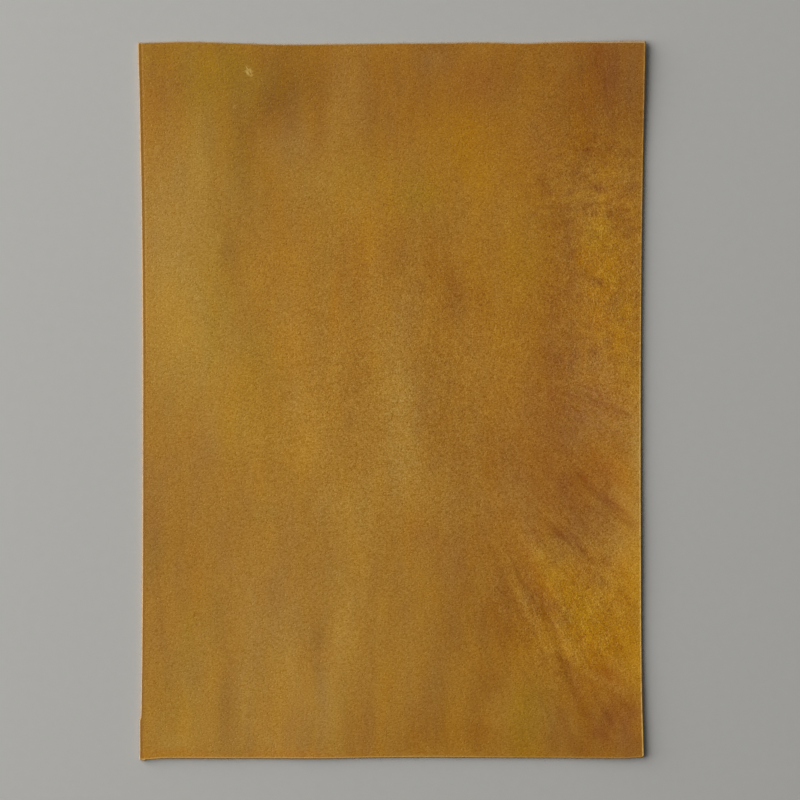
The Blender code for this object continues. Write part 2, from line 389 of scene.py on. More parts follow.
        Patch(-0.096, -0.110, 0.012, 0.030, 0.10),
        Patch(-0.072, -0.056, 0.026, 0.040, 0.16),
        Patch(-0.032, -0.100, 0.005, 0.032, 0.42),
        Patch(-0.068, -0.125, 0.006, 0.022, 0.36),
        Patch(-0.052, -0.090, 0.008, 0.030, 0.12),
        Patch(-0.008, -0.128, 0.010, 0.036, 0.24),
        Patch(-0.040, -0.134, 0.007, 0.020, 0.20),
        Patch(-0.030, -0.050, 0.014, 0.030, 0.14),
        Patch(0.084, 0.126, 0.026, 0.036, 0.28),
        Patch(0.085, -0.112, 0.010, 0.014, 0.30, lean=-30),
        Patch(0.016, -0.140, 0.050, 0.016, 0.36),
        Patch(0.055, -0.098, 0.012, 0.014, 0.30, lean=-25),
        # Painted shade: the sheet darker towards the head
        Patch(0.000, 0.120, 0.260, 0.100, 0.20),
        Patch(-0.100, -0.065, 0.020, 0.080, 0.26),
        Patch(0.042, -0.108, 0.024, 0.030, 0.22, lean=-20),
        Patch(0.092, -0.112, 0.018, 0.012, 0.36, lean=-30),
        Patch(0.028, -0.132, 0.024, 0.020, 0.20),
        Patch(0.075, -0.126, 0.022, 0.016, 0.48, lean=-20),
        Patch(0.097, 0.080, 0.012, 0.020, 0.20),
        Patch(0.000, 0.062, 0.010, 0.050, 0.15),
        Patch(-0.082, -0.064, 0.016, 0.030, 0.20),
        Patch(0.095, 0.068, 0.008, 0.012, 0.28),
        Patch(0.050, 0.090, 0.014, 0.016, 0.14),
        Patch(0.098, 0.060, 0.005, 0.008, 0.20),
        Patch(0.079, 0.107, 0.008, 0.006, 0.15),
        Patch(0.062, -0.104, 0.050, 0.018, 0.18),
        Patch(0.024, 0.138, 0.010, 0.012, 0.22),
        Patch(0.084, 0.138, 0.012, 0.014, 0.28),
        Patch(0.036, 0.042, 0.012, 0.014, 0.30),
        Patch(0.012, -0.006, 0.008, 0.014, 0.22),
        Patch(0.036, 0.050, 0.050, 0.050, 0.14),
        Patch(0.020, 0.112, 0.040, 0.030, 0.15),
    ),
    "gold": (
        Patch(0.043, 0.062, 0.006, 0.015, 0.16),
        Patch(0.067, -0.106, 0.005, 0.007, 0.22),
        Patch(-0.038, -0.122, 0.011, 0.013, 0.10),
        Patch(0.100, -0.135, 0.004, 0.006, 0.18),
        Patch(0.090, -0.086, 0.005, 0.009, 0.28),
        Patch(0.101, -0.136, 0.005, 0.007, 0.50),
        Patch(0.061, -0.084, 0.005, 0.006, 0.16),
        Patch(0.067, -0.104, 0.005, 0.006, 0.28),
        Patch(0.093, -0.118, 0.009, 0.008, 0.12),
        Patch(0.080, 0.013, 0.010, 0.006, 0.22),
        Patch(0.064, 0.003, 0.007, 0.006, 0.18),
        Patch(0.086, 0.066, 0.012, 0.018, 0.60),
        Patch(0.091, 0.053, 0.010, 0.012, 0.70),
        Patch(0.084, 0.043, 0.012, 0.016, 0.65),
        Patch(0.096, 0.034, 0.012, 0.034, 0.45),
        Patch(0.086, 0.026, 0.012, 0.016, 0.35),
        Patch(0.080, 0.058, 0.008, 0.008, 0.45),
        Patch(0.093, 0.014, 0.014, 0.020, 0.32),
        Patch(0.084, 0.009, 0.005, 0.005, 0.45),
        Patch(0.068, -0.074, 0.016, 0.018, 0.50, lean=-35),
        Patch(0.058, -0.064, 0.010, 0.014, 0.40, lean=-35),
        Patch(0.090, -0.090, 0.022, 0.034, 0.75, lean=-10),
        Patch(0.100, -0.070, 0.010, 0.034, 0.75),
        Patch(0.099, -0.104, 0.010, 0.020, 0.50, lean=-20),
        Patch(0.086, -0.108, 0.012, 0.018, 0.35),
        Patch(0.055, -0.134, 0.012, 0.030, 0.30),
        Patch(0.095, -0.038, 0.010, 0.014, 0.25),
        Patch(-0.015, 0.088, 0.024, 0.020, 0.32),
        Patch(0.032, 0.098, 0.040, 0.034, 0.40),
        Patch(-0.008, 0.068, 0.006, 0.018, 0.45),
        Patch(-0.045, 0.030, 0.020, 0.040, 0.18),
        Patch(-0.070, -0.010, 0.030, 0.026, 0.35),
        Patch(-0.030, -0.020, 0.016, 0.034, 0.22),
        Patch(-0.060, 0.010, 0.012, 0.016, 0.35),
        Patch(-0.088, 0.040, 0.024, 0.030, 0.25),
        Patch(-0.012, -0.066, 0.008, 0.016, 0.30),
        Patch(-0.003, -0.132, 0.004, 0.026, 0.50),
        Patch(-0.086, -0.138, 0.008, 0.020, 0.50),
        Patch(-0.092, -0.124, 0.010, 0.016, 0.25),
        Patch(-0.046, -0.124, 0.010, 0.034, 0.30),
        Patch(-0.022, -0.112, 0.008, 0.030, 0.25),
        Patch(0.050, 0.056, 0.018, 0.030, 0.25),
        Patch(0.097, -0.116, 0.012, 0.020, 0.30),
        Patch(0.052, 0.084, 0.022, 0.024, 0.25),
        Patch(0.046, -0.104, 0.024, 0.024, 0.20),
        Patch(0.084, 0.032, 0.008, 0.010, 0.30),
        Patch(0.048, 0.030, 0.020, 0.030, 0.18),
        Patch(0.060, -0.108, 0.014, 0.016, 0.20),
        Patch(0.084, 0.056, 0.009, 0.008, 0.40),
        Patch(0.097, 0.003, 0.007, 0.012, 0.25),
        Patch(0.072, -0.102, 0.030, 0.014, 0.24),
        Patch(0.089, -0.114, 0.020, 0.014, 0.28),
        Patch(0.054, 0.030, 0.022, 0.022, 0.16),
        Patch(0.098, -0.078, 0.012, 0.030, 0.14),
        Patch(0.095, -0.004, 0.012, 0.014, 0.14),
        Patch(0.092, 0.015, 0.024, 0.110, 0.12),
        Patch(0.094, -0.030, 0.016, 0.024, 0.16),
        Patch(0.075, -0.118, 0.060, 0.050, 0.12),
        Patch(0.050, 0.038, 0.030, 0.040, 0.12),
        Patch(-0.078, -0.078, 0.030, 0.014, 0.12),
        Patch(0.073, 0.088, 0.010, 0.014, 0.20),
        Patch(0.082, -0.004, 0.030, 0.012, 0.14),
    ),
    "olive": (
        Patch(-0.040, 0.146, 0.020, 0.006, 0.18),
        Patch(0.078, 0.138, 0.007, 0.008, 0.28),
        Patch(-0.053, -0.047, 0.011, 0.008, 0.20),
        Patch(-0.086, 0.136, 0.036, 0.034, 0.45),
        Patch(-0.056, 0.018, 0.014, 0.030, 0.40),
        Patch(-0.062, 0.100, 0.012, 0.050, 0.30),
        Patch(-0.077, 0.124, 0.012, 0.036, 0.35),
        Patch(-0.066, 0.140, 0.012, 0.016, 0.40),
        Patch(0.010, 0.084, 0.018, 0.014, 0.55),
        Patch(0.056, 0.058, 0.016, 0.030, 0.30),
        Patch(0.055, -0.136, 0.014, 0.024, 0.50),
        Patch(0.058, -0.122, 0.014, 0.014, 0.35),
        Patch(-0.074, 0.025, 0.006, 0.024, 0.45, lean=-6),
        Patch(-0.074, -0.092, 0.016, 0.024, 0.35),
        Patch(-0.086, -0.096, 0.006, 0.020, 0.35),
        Patch(-0.094, 0.142, 0.020, 0.010, 0.30),
        Patch(-0.034, 0.092, 0.030, 0.020, 0.16),
        Patch(-0.068, 0.040, 0.008, 0.020, 0.30),
        Patch(-0.060, -0.010, 0.024, 0.024, 0.25),
        Patch(0.026, 0.104, 0.030, 0.020, 0.16),
        Patch(-0.088, 0.024, 0.030, 0.070, 0.25),
        Patch(-0.088, -0.130, 0.026, 0.040, 0.30),
        Patch(-0.044, 0.132, 0.026, 0.030, 0.35),
        Patch(-0.026, 0.062, 0.010, 0.040, 0.22),
        Patch(-0.072, 0.062, 0.012, 0.030, 0.22),
        Patch(-0.012, 0.096, 0.020, 0.024, 0.24),
        Patch(0.085, 0.068, 0.010, 0.012, 0.40),
        Patch(0.098, 0.012, 0.008, 0.014, 0.25),
        Patch(0.096, 0.036, 0.008, 0.012, 0.25),
        Patch(0.091, 0.051, 0.008, 0.008, 0.30),
        Patch(-0.058, 0.132, 0.020, 0.020, 0.28),
        Patch(-0.078, 0.098, 0.030, 0.024, 0.16),
        Patch(-0.097, -0.064, 0.012, 0.020, 0.20),
        Patch(-0.075, 0.070, 0.040, 0.090, 0.16),
    ),
    "rose": (
        Patch(-0.097, 0.126, 0.012, 0.014, 0.25),
        Patch(0.035, 0.132, 0.018, 0.014, 0.40),
        Patch(0.086, -0.030, 0.012, 0.012, 0.40, lean=-30),
        Patch(0.066, 0.004, 0.004, 0.004, 0.35),
        Patch(0.077, -0.070, 0.010, 0.008, 0.35),
        Patch(0.096, -0.066, 0.004, 0.010, 0.30),
        Patch(0.084, -0.116, 0.016, 0.012, 0.30, lean=-30),
        Patch(0.092, -0.116, 0.010, 0.008, 0.35),
        Patch(0.086, 0.033, 0.008, 0.006, 0.35),
        Patch(-0.082, -0.014, 0.014, 0.020, 0.20),
        Patch(-0.010, -0.138, 0.008, 0.014, 0.20),
        Patch(0.013, -0.056, 0.012, 0.012, 0.25),
        Patch(0.048, 0.000, 0.020, 0.020, 0.12),
        Patch(0.080, -0.015, 0.060, 0.130, 0.40),
        Patch(0.052, -0.050, 0.040, 0.080, 0.20),
        Patch(0.097, -0.132, 0.018, 0.024, 0.50),
        Patch(0.024, -0.066, 0.012, 0.016, 0.20),
        Patch(0.091, 0.085, 0.014, 0.014, 0.20),
        Patch(0.091, -0.002, 0.020, 0.024, 0.34),
        Patch(-0.072, -0.092, 0.016, 0.020, 0.25),
        Patch(-0.048, -0.078, 0.014, 0.016, 0.20),
        Patch(0.096, -0.044, 0.016, 0.016, 0.25),
        Patch(0.078, 0.020, 0.034, 0.120, 0.10),
    ),
    "amber": (
        Patch(-0.057, -0.095, 0.006, 0.011, 0.18),
        Patch(0.062, -0.059, 0.006, 0.008, 0.10),
        Patch(-0.027, -0.105, 0.006, 0.006, 0.42),
        Patch(-0.024, 0.043, 0.004, 0.030, 0.60),
        Patch(-0.014, 0.056, 0.012, 0.022, 0.25),
        Patch(-0.040, 0.024, 0.006, 0.030, 0.20),
        Patch(-0.093, 0.140, 0.008, 0.010, 0.50),
        Patch(0.095, -0.030, 0.008, 0.016, 0.50),
        Patch(-0.080, -0.147, 0.060, 0.003, 0.55),
        Patch(-0.030, -0.147, 0.030, 0.003, 0.50),
        Patch(0.034, 0.108, 0.030, 0.024, 0.25),
        Patch(0.036, 0.030, 0.030, 0.040, 0.14),
        Patch(0.060, 0.104, 0.014, 0.016, 0.25),
        Patch(0.012, -0.128, 0.005, 0.024, 0.20),
    ),
    "combed": (
        Patch(-0.020, -0.130, 0.160, 0.120, 0.85),
    ),
    "fan": (
        Patch(0.080, -0.080, 0.084, 0.110, 1.00),
        Patch(0.085, 0.010, 0.030, 0.050, 0.50),
    ),
    "loose": (
        Patch(0.092, 0.048, 0.040, 0.100, 0.95),
        Patch(0.088, -0.085, 0.046, 0.060, 0.80, lean=-20),
        Patch(0.066, -0.095, 0.026, 0.050, 0.45, lean=-30),
        Patch(0.010, 0.010, 0.110, 0.130, 0.55),
        Patch(0.078, 0.116, 0.060, 0.060, 0.22),
    ),
    "mottled": (
        Patch(0.080, 0.088, 0.040, 0.032, 1.00),
        Patch(0.090, 0.040, 0.024, 0.060, 0.40),
        Patch(0.090, -0.100, 0.022, 0.030, 0.25, lean=-20),
    ),
}
TINTS = ("pale", "cool", "dark_dye_and_shade", "gold", "olive", "rose", "amber")

# Ribbons of tint beside the creases: the points that each passes through, its half width and strength
Ribbon = namedtuple("Ribbon", "tint points half_width strength")
RIBBONS = (
    Ribbon("olive", ((0.058, -0.059), (0.066, -0.067), (0.073, -0.078), (0.079, -0.089), (0.083, -0.098)),
           0.0070, 0.30),
    Ribbon("gold", ((0.066, -0.068), (0.073, -0.078), (0.079, -0.089), (0.083, -0.098)), 0.0070, 0.45),
    Ribbon("pale", ((0.060, -0.061), (0.066, -0.067), (0.072, -0.074)), 0.0040, 0.25),
    Ribbon("rose", ((0.054, -0.055), (0.057, -0.066), (0.061, -0.073), (0.065, -0.080), (0.069, -0.088)),
           0.0020, 0.45),
    Ribbon("pale", ((0.053, -0.078), (0.058, -0.087), (0.062, -0.095), (0.067, -0.104)), 0.0022, 0.34),
    Ribbon("gold", ((0.056, -0.083), (0.062, -0.094), (0.066, -0.104)), 0.0030, 0.45),
    Ribbon("pale", ((0.066, -0.090), (0.070, -0.097), (0.074, -0.103), (0.078, -0.110)), 0.0022, 0.52),
    Ribbon("gold", ((0.068, -0.093), (0.074, -0.103), (0.079, -0.111)), 0.0028, 0.50),
    Ribbon("pale", ((0.079, -0.094), (0.086, -0.082), (0.091, -0.071), (0.097, -0.057)), 0.0028, 0.40),
    Ribbon("pale", ((0.091, -0.035), (0.097, -0.042), (0.103, -0.049)), 0.0024, 0.60),
    Ribbon("pale", ((0.102, 0.010), (0.102, -0.030), (0.102, -0.070), (0.103, -0.115)), 0.0024, 0.50),
    Ribbon("gold", ((0.101, -0.056), (0.102, -0.085), (0.103, -0.120)), 0.0030, 0.45),
    Ribbon("pale", ((0.054, -0.055), (0.058, -0.061), (0.062, -0.066)), 0.0020, 0.30),
    Ribbon("pale", ((0.078, -0.112), (0.088, -0.116), (0.098, -0.122)), 0.0014, 0.30),
    Ribbon("dark_dye_and_shade", ((0.052, -0.052), (0.060, -0.058), (0.068, -0.064)), 0.0016, 0.25),
    Ribbon("dark_dye_and_shade", ((0.046, -0.078), (0.052, -0.090), (0.057, -0.102)), 0.0022, 0.25),
)

# The streaks of the belly side spread from this place, where they would all meet
FAN_MIDDLE = (0.001, 0.036, 0.0)
FAN_SPREAD = 0.11

# Sizes of the patterns on the grain side: in the dye, in the wrinkles and strands, and in the grain itself
DYE_CLOUD = 0.016
HUE_CLOUD = 0.009
STREAK = 0.007
FAN_STREAK = 0.006
STREAK_SWAY = 0.030
STREAK_SWAY_SHIFT = (0.010, 0.0, 0.0)
BLOTCH = 0.0060
MOTTLE = 0.0030
WRINKLE = 0.0017
STRAND_BEND = 0.0026
SCRATCH = 0.0004
GRAIN_WARP_PER_METRE = 900.0
GRAIN_WARP = 0.0003
GRAIN_ROW = 0.00036
FINE_GRAIN = 0.00037

# Heights of the relief of the cut and of the nap on the flesh side
CUT_RELIEF = 0.00012
NAP_RELIEF = 0.00030

# Shifts of the places where two of the patterns are read, so that they don't follow the others
HUES_ELSEWHERE = (0.5, 0.2, 0.0)
PORES_ELSEWHERE = (0.3, 0.7, 0.0)

# Leans of the drawn out patterns, in degrees to the right of the sheet's length
MOTTLE_LEAN = -12
STRAND_LEAN = -35
SCRATCH_LEAN = -28
NAP_LEAN = 12

# Small marks on the grain: the middle, the half sizes, the lean to the right and the strength of each
Mark = namedtuple("Mark", "across along half_wide half_long lean strength")
SCUFFS = (
    Mark(-0.0592, 0.1362, 0.0018, 0.0032, -35, 0.70),
    Mark(-0.0650, 0.1214, 0.0010, 0.0014, 0, 0.22),
    Mark(-0.0973, 0.1040, 0.0014, 0.0024, 20, 0.25),
    Mark(-0.0954, 0.0890, 0.0014, 0.0020, 0, 0.22),
)

# How the drifts are drawn out into each other: the size of the waver both ways, and how far it shifts them
Warp = namedtuple("Warp", "across along shift")
WARPS = (
    Warp(across=0.020, along=0.045, shift=0.0028),
    Warp(across=0.006, along=0.014, shift=0.0014),
)

# Where the random values start that draw out the drifts and let the cut wander, the same in each run
WAVER_SEED = 1795825931

# The cut leans outwards at some places: how far the grain side stays inside the flesh side, along each side
Slant = namedtuple("Slant", "place inset")
SIDE_SLANTS = {
    -1: (Slant(-0.149, 0.00060), Slant(-0.133, 0.00050), Slant(-0.128, 0.00060), Slant(-0.020, 0.00055),
         Slant(0.050, 0.00060), Slant(0.149, 0.00045)),
    1: (Slant(-0.149, 0.00040), Slant(-0.120, 0.00060), Slant(-0.050, 0.00050), Slant(0.120, 0.00040),
        Slant(0.149, 0.00060)),
}
END_SLANTS = {
    -1: (Slant(-0.105, 0.00050), Slant(-0.090, 0.00075), Slant(0.000, 0.00070), Slant(0.105, 0.00065)),
    1: (Slant(-0.105, 0.00060), Slant(0.020, 0.00070), Slant(0.080, 0.00075), Slant(0.090, 0.00110),
        Slant(0.105, 0.00120)),
}

# Corners, the step where the knife was set again, and the burr beside the corner at the foot of the -X side
Corner = namedtuple("Corner", "side end radius")
CORNERS = (
    Corner(side=-1, end=-1, radius=0.0003),
    Corner(side=1, end=-1, radius=0.0011),
    Corner(side=-1, end=1, radius=0.0003),
    Corner(side=1, end=1, radius=0.0003),
)
KNIFE_STEP_ALONG = -0.1317
KNIFE_STEP = 0.00045
KNIFE_STEP_RUN = 0.0006
KNIFE_STEP_REACH = 0.006
KNIFE_STEP_LEFT = 0.35
BURR_ACROSS = -0.1027
BURR_HALF_WIDTH = 0.0008
BURR_RUN = 0.002
BURR = 0.0004

# The rim of the grain side: a pressed line and a burnished band at the -X side, and worn at +X and the foot
PRESSED_LINE_INSET = 0.00125
PRESSED_LINE_HALF_WIDTH = 0.00045
PRESSED_LINE_DEPTH = 0.00010
PRESSED_LINE_FADE = (-0.030, 0.060)
BURNISHED_WIDTH = 0.0012
WORN_RIM_WIDTH = 0.0006
WORN_RIM_FADE = (-0.010, 0.060)
WORN_RIM_FADED = 0.65
WORN_FOOT = 0.40
WORN_FOOT_FADE = (0.010, 0.060)
WORN_FOOT_FADED = 0.5

# The long low waves of the grain side, the narrow flutes and the gaps in the worn rim: how broad each is
# across the sheet, how many times as long it is along the sheet, and where its random values are read. The
# waves and the flutes level out near the rim.
Swell = namedtuple("Swell", "size spread seed")
WAVES = Swell(size=0.028, spread=1.8, seed=3.1)
FLUTES = Swell(size=0.0055, spread=9.0, seed=7.7)
WORN_GAPS = Swell(size=0.0018, spread=1.0, seed=7.0)
LEVEL_RIM = 0.010

# How the grain side is drawn in where the cut leans, and how the layers of the cut wander in and out. The
# wander is broad and fine, each with its size across, along and upwards.
SLANT_FADE = 0.0030
WALL_CUTS = 3
RIM_SEGMENTS = 3
WANDER_REACH = 0.0012
BROAD_WANDER = (0.004, 0.004, 0.0016)
FINE_WANDER = (0.0011, 0.0011, 0.0007)
FINE_WANDER_SHARE = 0.6
WANDER_UPWARDS = 0.35

# Where the shading breaks, and how far a face looks up to be grain or down to be flesh
SHARP_ANGLE = math.radians(40)
GRAIN_RISE = 0.55
FLESH_FALL = 0.90

# Loose fibres: where they leave the cut, how long they are by the longest, how far they spread, rise and
# bend, how thin they end, how far they stay from the corners, and how low they may hang
FIBRE_SEED = 11
FIBRE_HEIGHTS = (0.0003, 0.0016)
FIBRE_ROOT_DEPTH = 0.00015
FIBRE_SHARES = (0.2, 1.0)
FIBRE_SPREAD = 0.8
FIBRE_RISE = (0.1, 0.35)
FIBRE_BEND = 0.35
FIBRE_LEAST_OUT = 0.2
FIBRE_TIP = 0.3
FIBRE_CUTS = 2
FIBRE_CLEAR_OF_ENDS = 0.0010
FIBRE_CLEAR_OF_CORNERS = 0.0015
FIBRE_LOWEST = 0.0001

# Materials, in the order of their places on the sheet
GRAIN, CUT_EDGE, FLESH = 0, 1, 2

# The stage and the view, from straight above
FLOOR_HALF_SIDE = 3.0
FLOOR_BELOW = 0.0001
ROOM_COLOUR = (1.0, 0.99, 0.97, 1.0)
VIEW_CENTRE = (0.0034, 0.0002)
VIEW_WIDTH = 0.3309
SENSOR_WIDTH = 36.0
LENS = 120.0


def daylight(red, green, blue):
    """A colour given in display levels from 0 to 255, as scene linear values."""
    shown = [level / 255 for level in (red, green, blue)]
    return tuple(level / 12.92 if level <= 0.04045 else ((level + 0.055) / 1.055) ** 2.4 for level in shown)


def length_property(name, description, default):
    return FloatProperty(
        name=name, description=description, default=default, min=0.0, unit="LENGTH", precision=5
    )


def angle_property(name, description, degrees):
    return FloatProperty(name=name, description=description, default=math.radians(degrees), subtype="ANGLE")


def colour_property(name, description, levels):
    return FloatVectorProperty(
        name=name, description=description, default=daylight(*levels), size=3, min=0.0, max=1.0,
        subtype="COLOR",
    )


class CowhideSizes(bpy.types.PropertyGroup):
    """Sizes of the sheet and of the relief on it."""

    thickness: length_property("Thickness", "Substance of the leather away from its creases", 0.0020)
    rim_width: length_property("Rim width", "Width of the soft rim between the grain and the cut", 0.00045)
    wave_height: length_property("Wave height", "Height of the long, low waves of the grain side", 0.00012)
    flute_height: length_property("Flute height", "Height of the narrow flutes towards the foot", 0.00003)
    edge_wander: length_property("Edge wander", "How far the cut edges wander in and out", 0.00008)
    pebble: length_property("Pebble", "Distance between the pebbles of the grain", 0.00070)
    pore: length_property("Pore", "Distance between the hair pores", 0.00125)
    relief: length_property("Grain relief", "Height of the pebbles of the grain", 0.00011)
    fibre_length: length_property("Fibre length", "Length of the longest loose fibres", 0.0016)
    fibre_radius: length_property("Fibre radius", "Radius of the loose fibres at their roots", 0.00005)
    fibre_count: IntProperty(name="Fibres", description="Number of loose fibres", default=300, min=0)


class CowhideColours(bpy.types.PropertyGroup):
    """Colours of the dyed grain, the raw cut edge and the flesh side."""

    base: colour_property("Base", "The dyed grain where nothing drifts", (169, 118, 32))
    pale: colour_property("Pale", "Where the dye lies thin", (186, 141, 56))
    cool: colour_property("Cool", "Where the grain looks grey", (163, 120, 55))
    # The dark dye's colour, which is also the painted shade in the creases, towards the head and in the
    # corner at the head of the +X side
    dark_dye_and_shade: colour_property("Dusk", "Where the dye stands dark", (148, 93, 14))
    gold: colour_property("Gold", "Where the dye glows yellow", (183, 126, 2))
    olive: colour_property("Olive", "Where the dye turns green", (158, 120, 12))
    rose: colour_property("Rose", "Where the dye turns red", (164, 99, 30))
    amber: colour_property("Amber", "Where the dye turns orange", (180, 115, 12))
    # The pore colour also paints the shade between the pebbles and in the pores
    pore: colour_property("Pore", "In the hair pores and between the pebbles", (150, 97, 0))
    scuff: colour_property("Scuff", "Where the grain is scraped", (206, 173, 92))
    burnish: colour_property("Burnish", "The grain that the knife pressed over the cut", (140, 94, 30))
    worn_rim: colour_property("Worn rim", "The grain that is worn along its rim", (222, 180, 98))
    cut_edge: colour_property("Cut edge", "The raw leather in the cut", (214, 180, 128))
    cut_fibre: colour_property("Cut fibre", "The darker fibres in the cut", (160, 116, 62))
    flesh: colour_property("Flesh side", "The bare suede of the underside", (190, 152, 98))
    flesh_nap: colour_property("Flesh nap", "The darker nap of the underside", (158, 118, 68))


class CowhideStage(bpy.types.PropertyGroup):
    """The floor and the light."""

    floor: colour_property("Floor", "The plain floor", (175, 174, 170))
    window_power: FloatProperty(
        name="Window power", description="Power of the soft window light", default=96.0, unit="POWER"
    )
    window_size: length_property("Window size", "Side of the soft window light", 2.8)
    window_distance: length_property("Window distance", "Distance of the window from the sheet", 2.2)
    window_height: angle_property("Window height", "Angle of the window above the floor", 33)
    window_turn: angle_property("Window turn", "Turn of the window from the -X side towards the head", 18)
    room_light: FloatProperty(
        name="Room light", description="Strength of the even light of the room", default=0.13, min=0.0
    )


class Wire:
    """A socket of a material's nodes. Expressions written with wires add the nodes that work them out."""

    def __init__(self, tree, socket=None):
        self.tree = tree
        self.socket = socket

    def node(self, kind, settings=None, inputs=None, output=0):
        """Add a node: its settings first, then its sockets' values or links. Gives one of its outputs."""
        made = self.tree.nodes.new(kind)
        for name, value in (settings or {}).items():
            setattr(made, name, value)
        for name, value in (inputs or {}).items():
            if isinstance(value, Wire):
                self.tree.links.new(value.socket, made.inputs[name])
            else:
                made.inputs[name].default_value = value
        return Wire(self.tree, made.outputs[output])

    def has_parts(self):
        return self.socket.type in ("VECTOR", "RGBA")

    def worked(self, operation, first, second):
        """Math between values, Vector Math where a side is a vector or a colour."""
        sides = (first, second)
        with_parts = (
            isinstance(side, tuple) or (isinstance(side, Wire) and side.has_parts()) for side in sides
        )
        if not any(with_parts):
            return self.node("ShaderNodeMath", {"operation": operation}, dict(enumerate(sides)))
        filled = [side if isinstance(side, (Wire, tuple)) else (side, side, side) for side in sides]
        return self.node("ShaderNodeVectorMath", {"operation": operation}, dict(enumerate(filled)))

    def __add__(self, other):
        return self.worked("ADD", self, other)

    def __sub__(self, other):
        return self.worked("SUBTRACT", self, other)

    def __rsub__(self, other):
        return self.worked("SUBTRACT", other, self)

    def __mul__(self, other):
        return self.worked("MULTIPLY", self, other)

    __radd__ = __add__
    __rmul__ = __mul__

    def eased(self, low, high):
        """From 0 at low to 1 at high, with a level start and end."""
        settings = {"interpolation_type": "SMOOTHSTEP"}
        return self.node("ShaderNodeMapRange", settings, {"Value": self, "From Min": low, "From Max": high})

    def length(self):
        return self.node("ShaderNodeVectorMath", {"operation": "LENGTH"}, {0: self}, "Value")

    def blended(self, first, second):
        """The first colour where this mask is 0, the second where it is 1."""
        first, second = (side if isinstance(side, Wire) else (*side, 1.0) for side in (first, second))
        return self.node("ShaderNodeMix", {"data_type": "RGBA"}, {0: self, 6: first, 7: second}, 2)


def start_material(name):
    """A material, the wire of the place on the piece, and the shader."""
    material = bpy.data.materials.new(name)
    material.use_nodes = True
    shader = material.node_tree.nodes["Principled BSDF"]
    place = Wire(material.node_tree).node("ShaderNodeTexCoord", output="Object")
    return material, place, shader


def feed(shader, **inputs):
    """Link or set the shader's sockets, whose names are given with _ for each space."""
    for name, value in inputs.items():
        socket = shader.inputs[name.replace("_", " ").title().replace("Ior", "IOR")]
        if isinstance(value, Wire):
            value.tree.links.new(value.socket, socket)
        else:
            socket.default_value = value


def bumped(height, distance):
    """The normal of a relief with this height, which is at most about this distance."""
    return height.node("ShaderNodeBump", inputs={"Strength": 1.0, "Distance": distance, "Height": height})


def cloudy(place, size, detail=2.0, roughness=0.5, spread=(1.0, 1.0, 1.0)):
    """Soft random values about 0, of clouds of this size, drawn out by spread along each axis."""
    scale = tuple(1 / (size * share) for share in spread)
    return place.node(
        "ShaderNodeTexNoise", {"noise_dimensions": "3D"},
        {"Vector": place * scale, "Scale": 1.0, "Detail": detail, "Roughness": roughness}, "Fac",
    ) - 0.5


def fanned(place):
    """The place by its turn round the middle of the fan, as a length, and its distance from there."""
    off = place - FAN_MIDDLE
    across, along = (off.node("ShaderNodeSeparateXYZ", inputs={0: off}, output=axis) for axis in ("X", "Y"))
    turn = across.worked("ARCTAN2", across, 0.0 - along) * FAN_SPREAD
    return off.node("ShaderNodeCombineXYZ", inputs={"X": turn, "Y": off.length()})


def turned(place, degrees):
    """The place, turned so that its Y runs along a lean to the right of the sheet's length."""
    inputs = {"Vector": place, "Angle": math.radians(degrees)}
    return place.node("ShaderNodeVectorRotate", {"rotation_type": "Z_AXIS"}, inputs)


def cells(place, size):
    """How far each place is from the middle of its cell, in cells, for cells of this size."""
    inputs = {"Vector": place, "Scale": 1 / size, "Randomness": 0.9}
    return place.node("ShaderNodeTexVoronoi", {"feature": "F1"}, inputs, "Distance")


def mark_mask(place, mark):
    """1 in the middle of a mark, 0 past its edge."""
    off = turned(place - (mark.across, mark.along, 0.0), mark.lean)
    off = off * (1 / mark.half_wide, 1 / mark.half_long, 0.0)
    return 1.0 - off.length().eased(0.4, 1.0)


def grain_fields(place):
    """What write_fields stored at each point of the sheet, by name."""
    return {
        name: place.node("ShaderNodeAttribute", {"attribute_name": name}, output="Fac")
        for name in (*DRIFTS, "crease_shade", "rim", "worn")
    }


def grain_cells(place, field, sizes):
    """The grain itself: its pebbles, its pores and the finest grain, in rows where it is tight."""
    warp = {"Vector": place, "Scale": GRAIN_WARP_PER_METRE, "Detail": 1.0}
    warped = place + place.node("ShaderNodeTexNoise", inputs=warp, output="Color") * GRAIN_WARP
    pebbles = cells(warped * (0.75, 1.1, 1.0), sizes.pebble)
    pores = 1.0 - cells(warped + PORES_ELSEWHERE, sizes.pore).eased(0.10, 0.34)
    in_rows = (0.55 + field["loose"] * 0.6) * (1.0 - field["loose"] * field["loose"])
    rows = cloudy(place, GRAIN_ROW, detail=1.0, spread=(2.4, 1.0, 1.0)) * in_rows
    fine = cloudy(place, FINE_GRAIN, detail=1.0) * (0.20 + field["loose"] * 0.85) + rows
    return pebbles, pores, fine


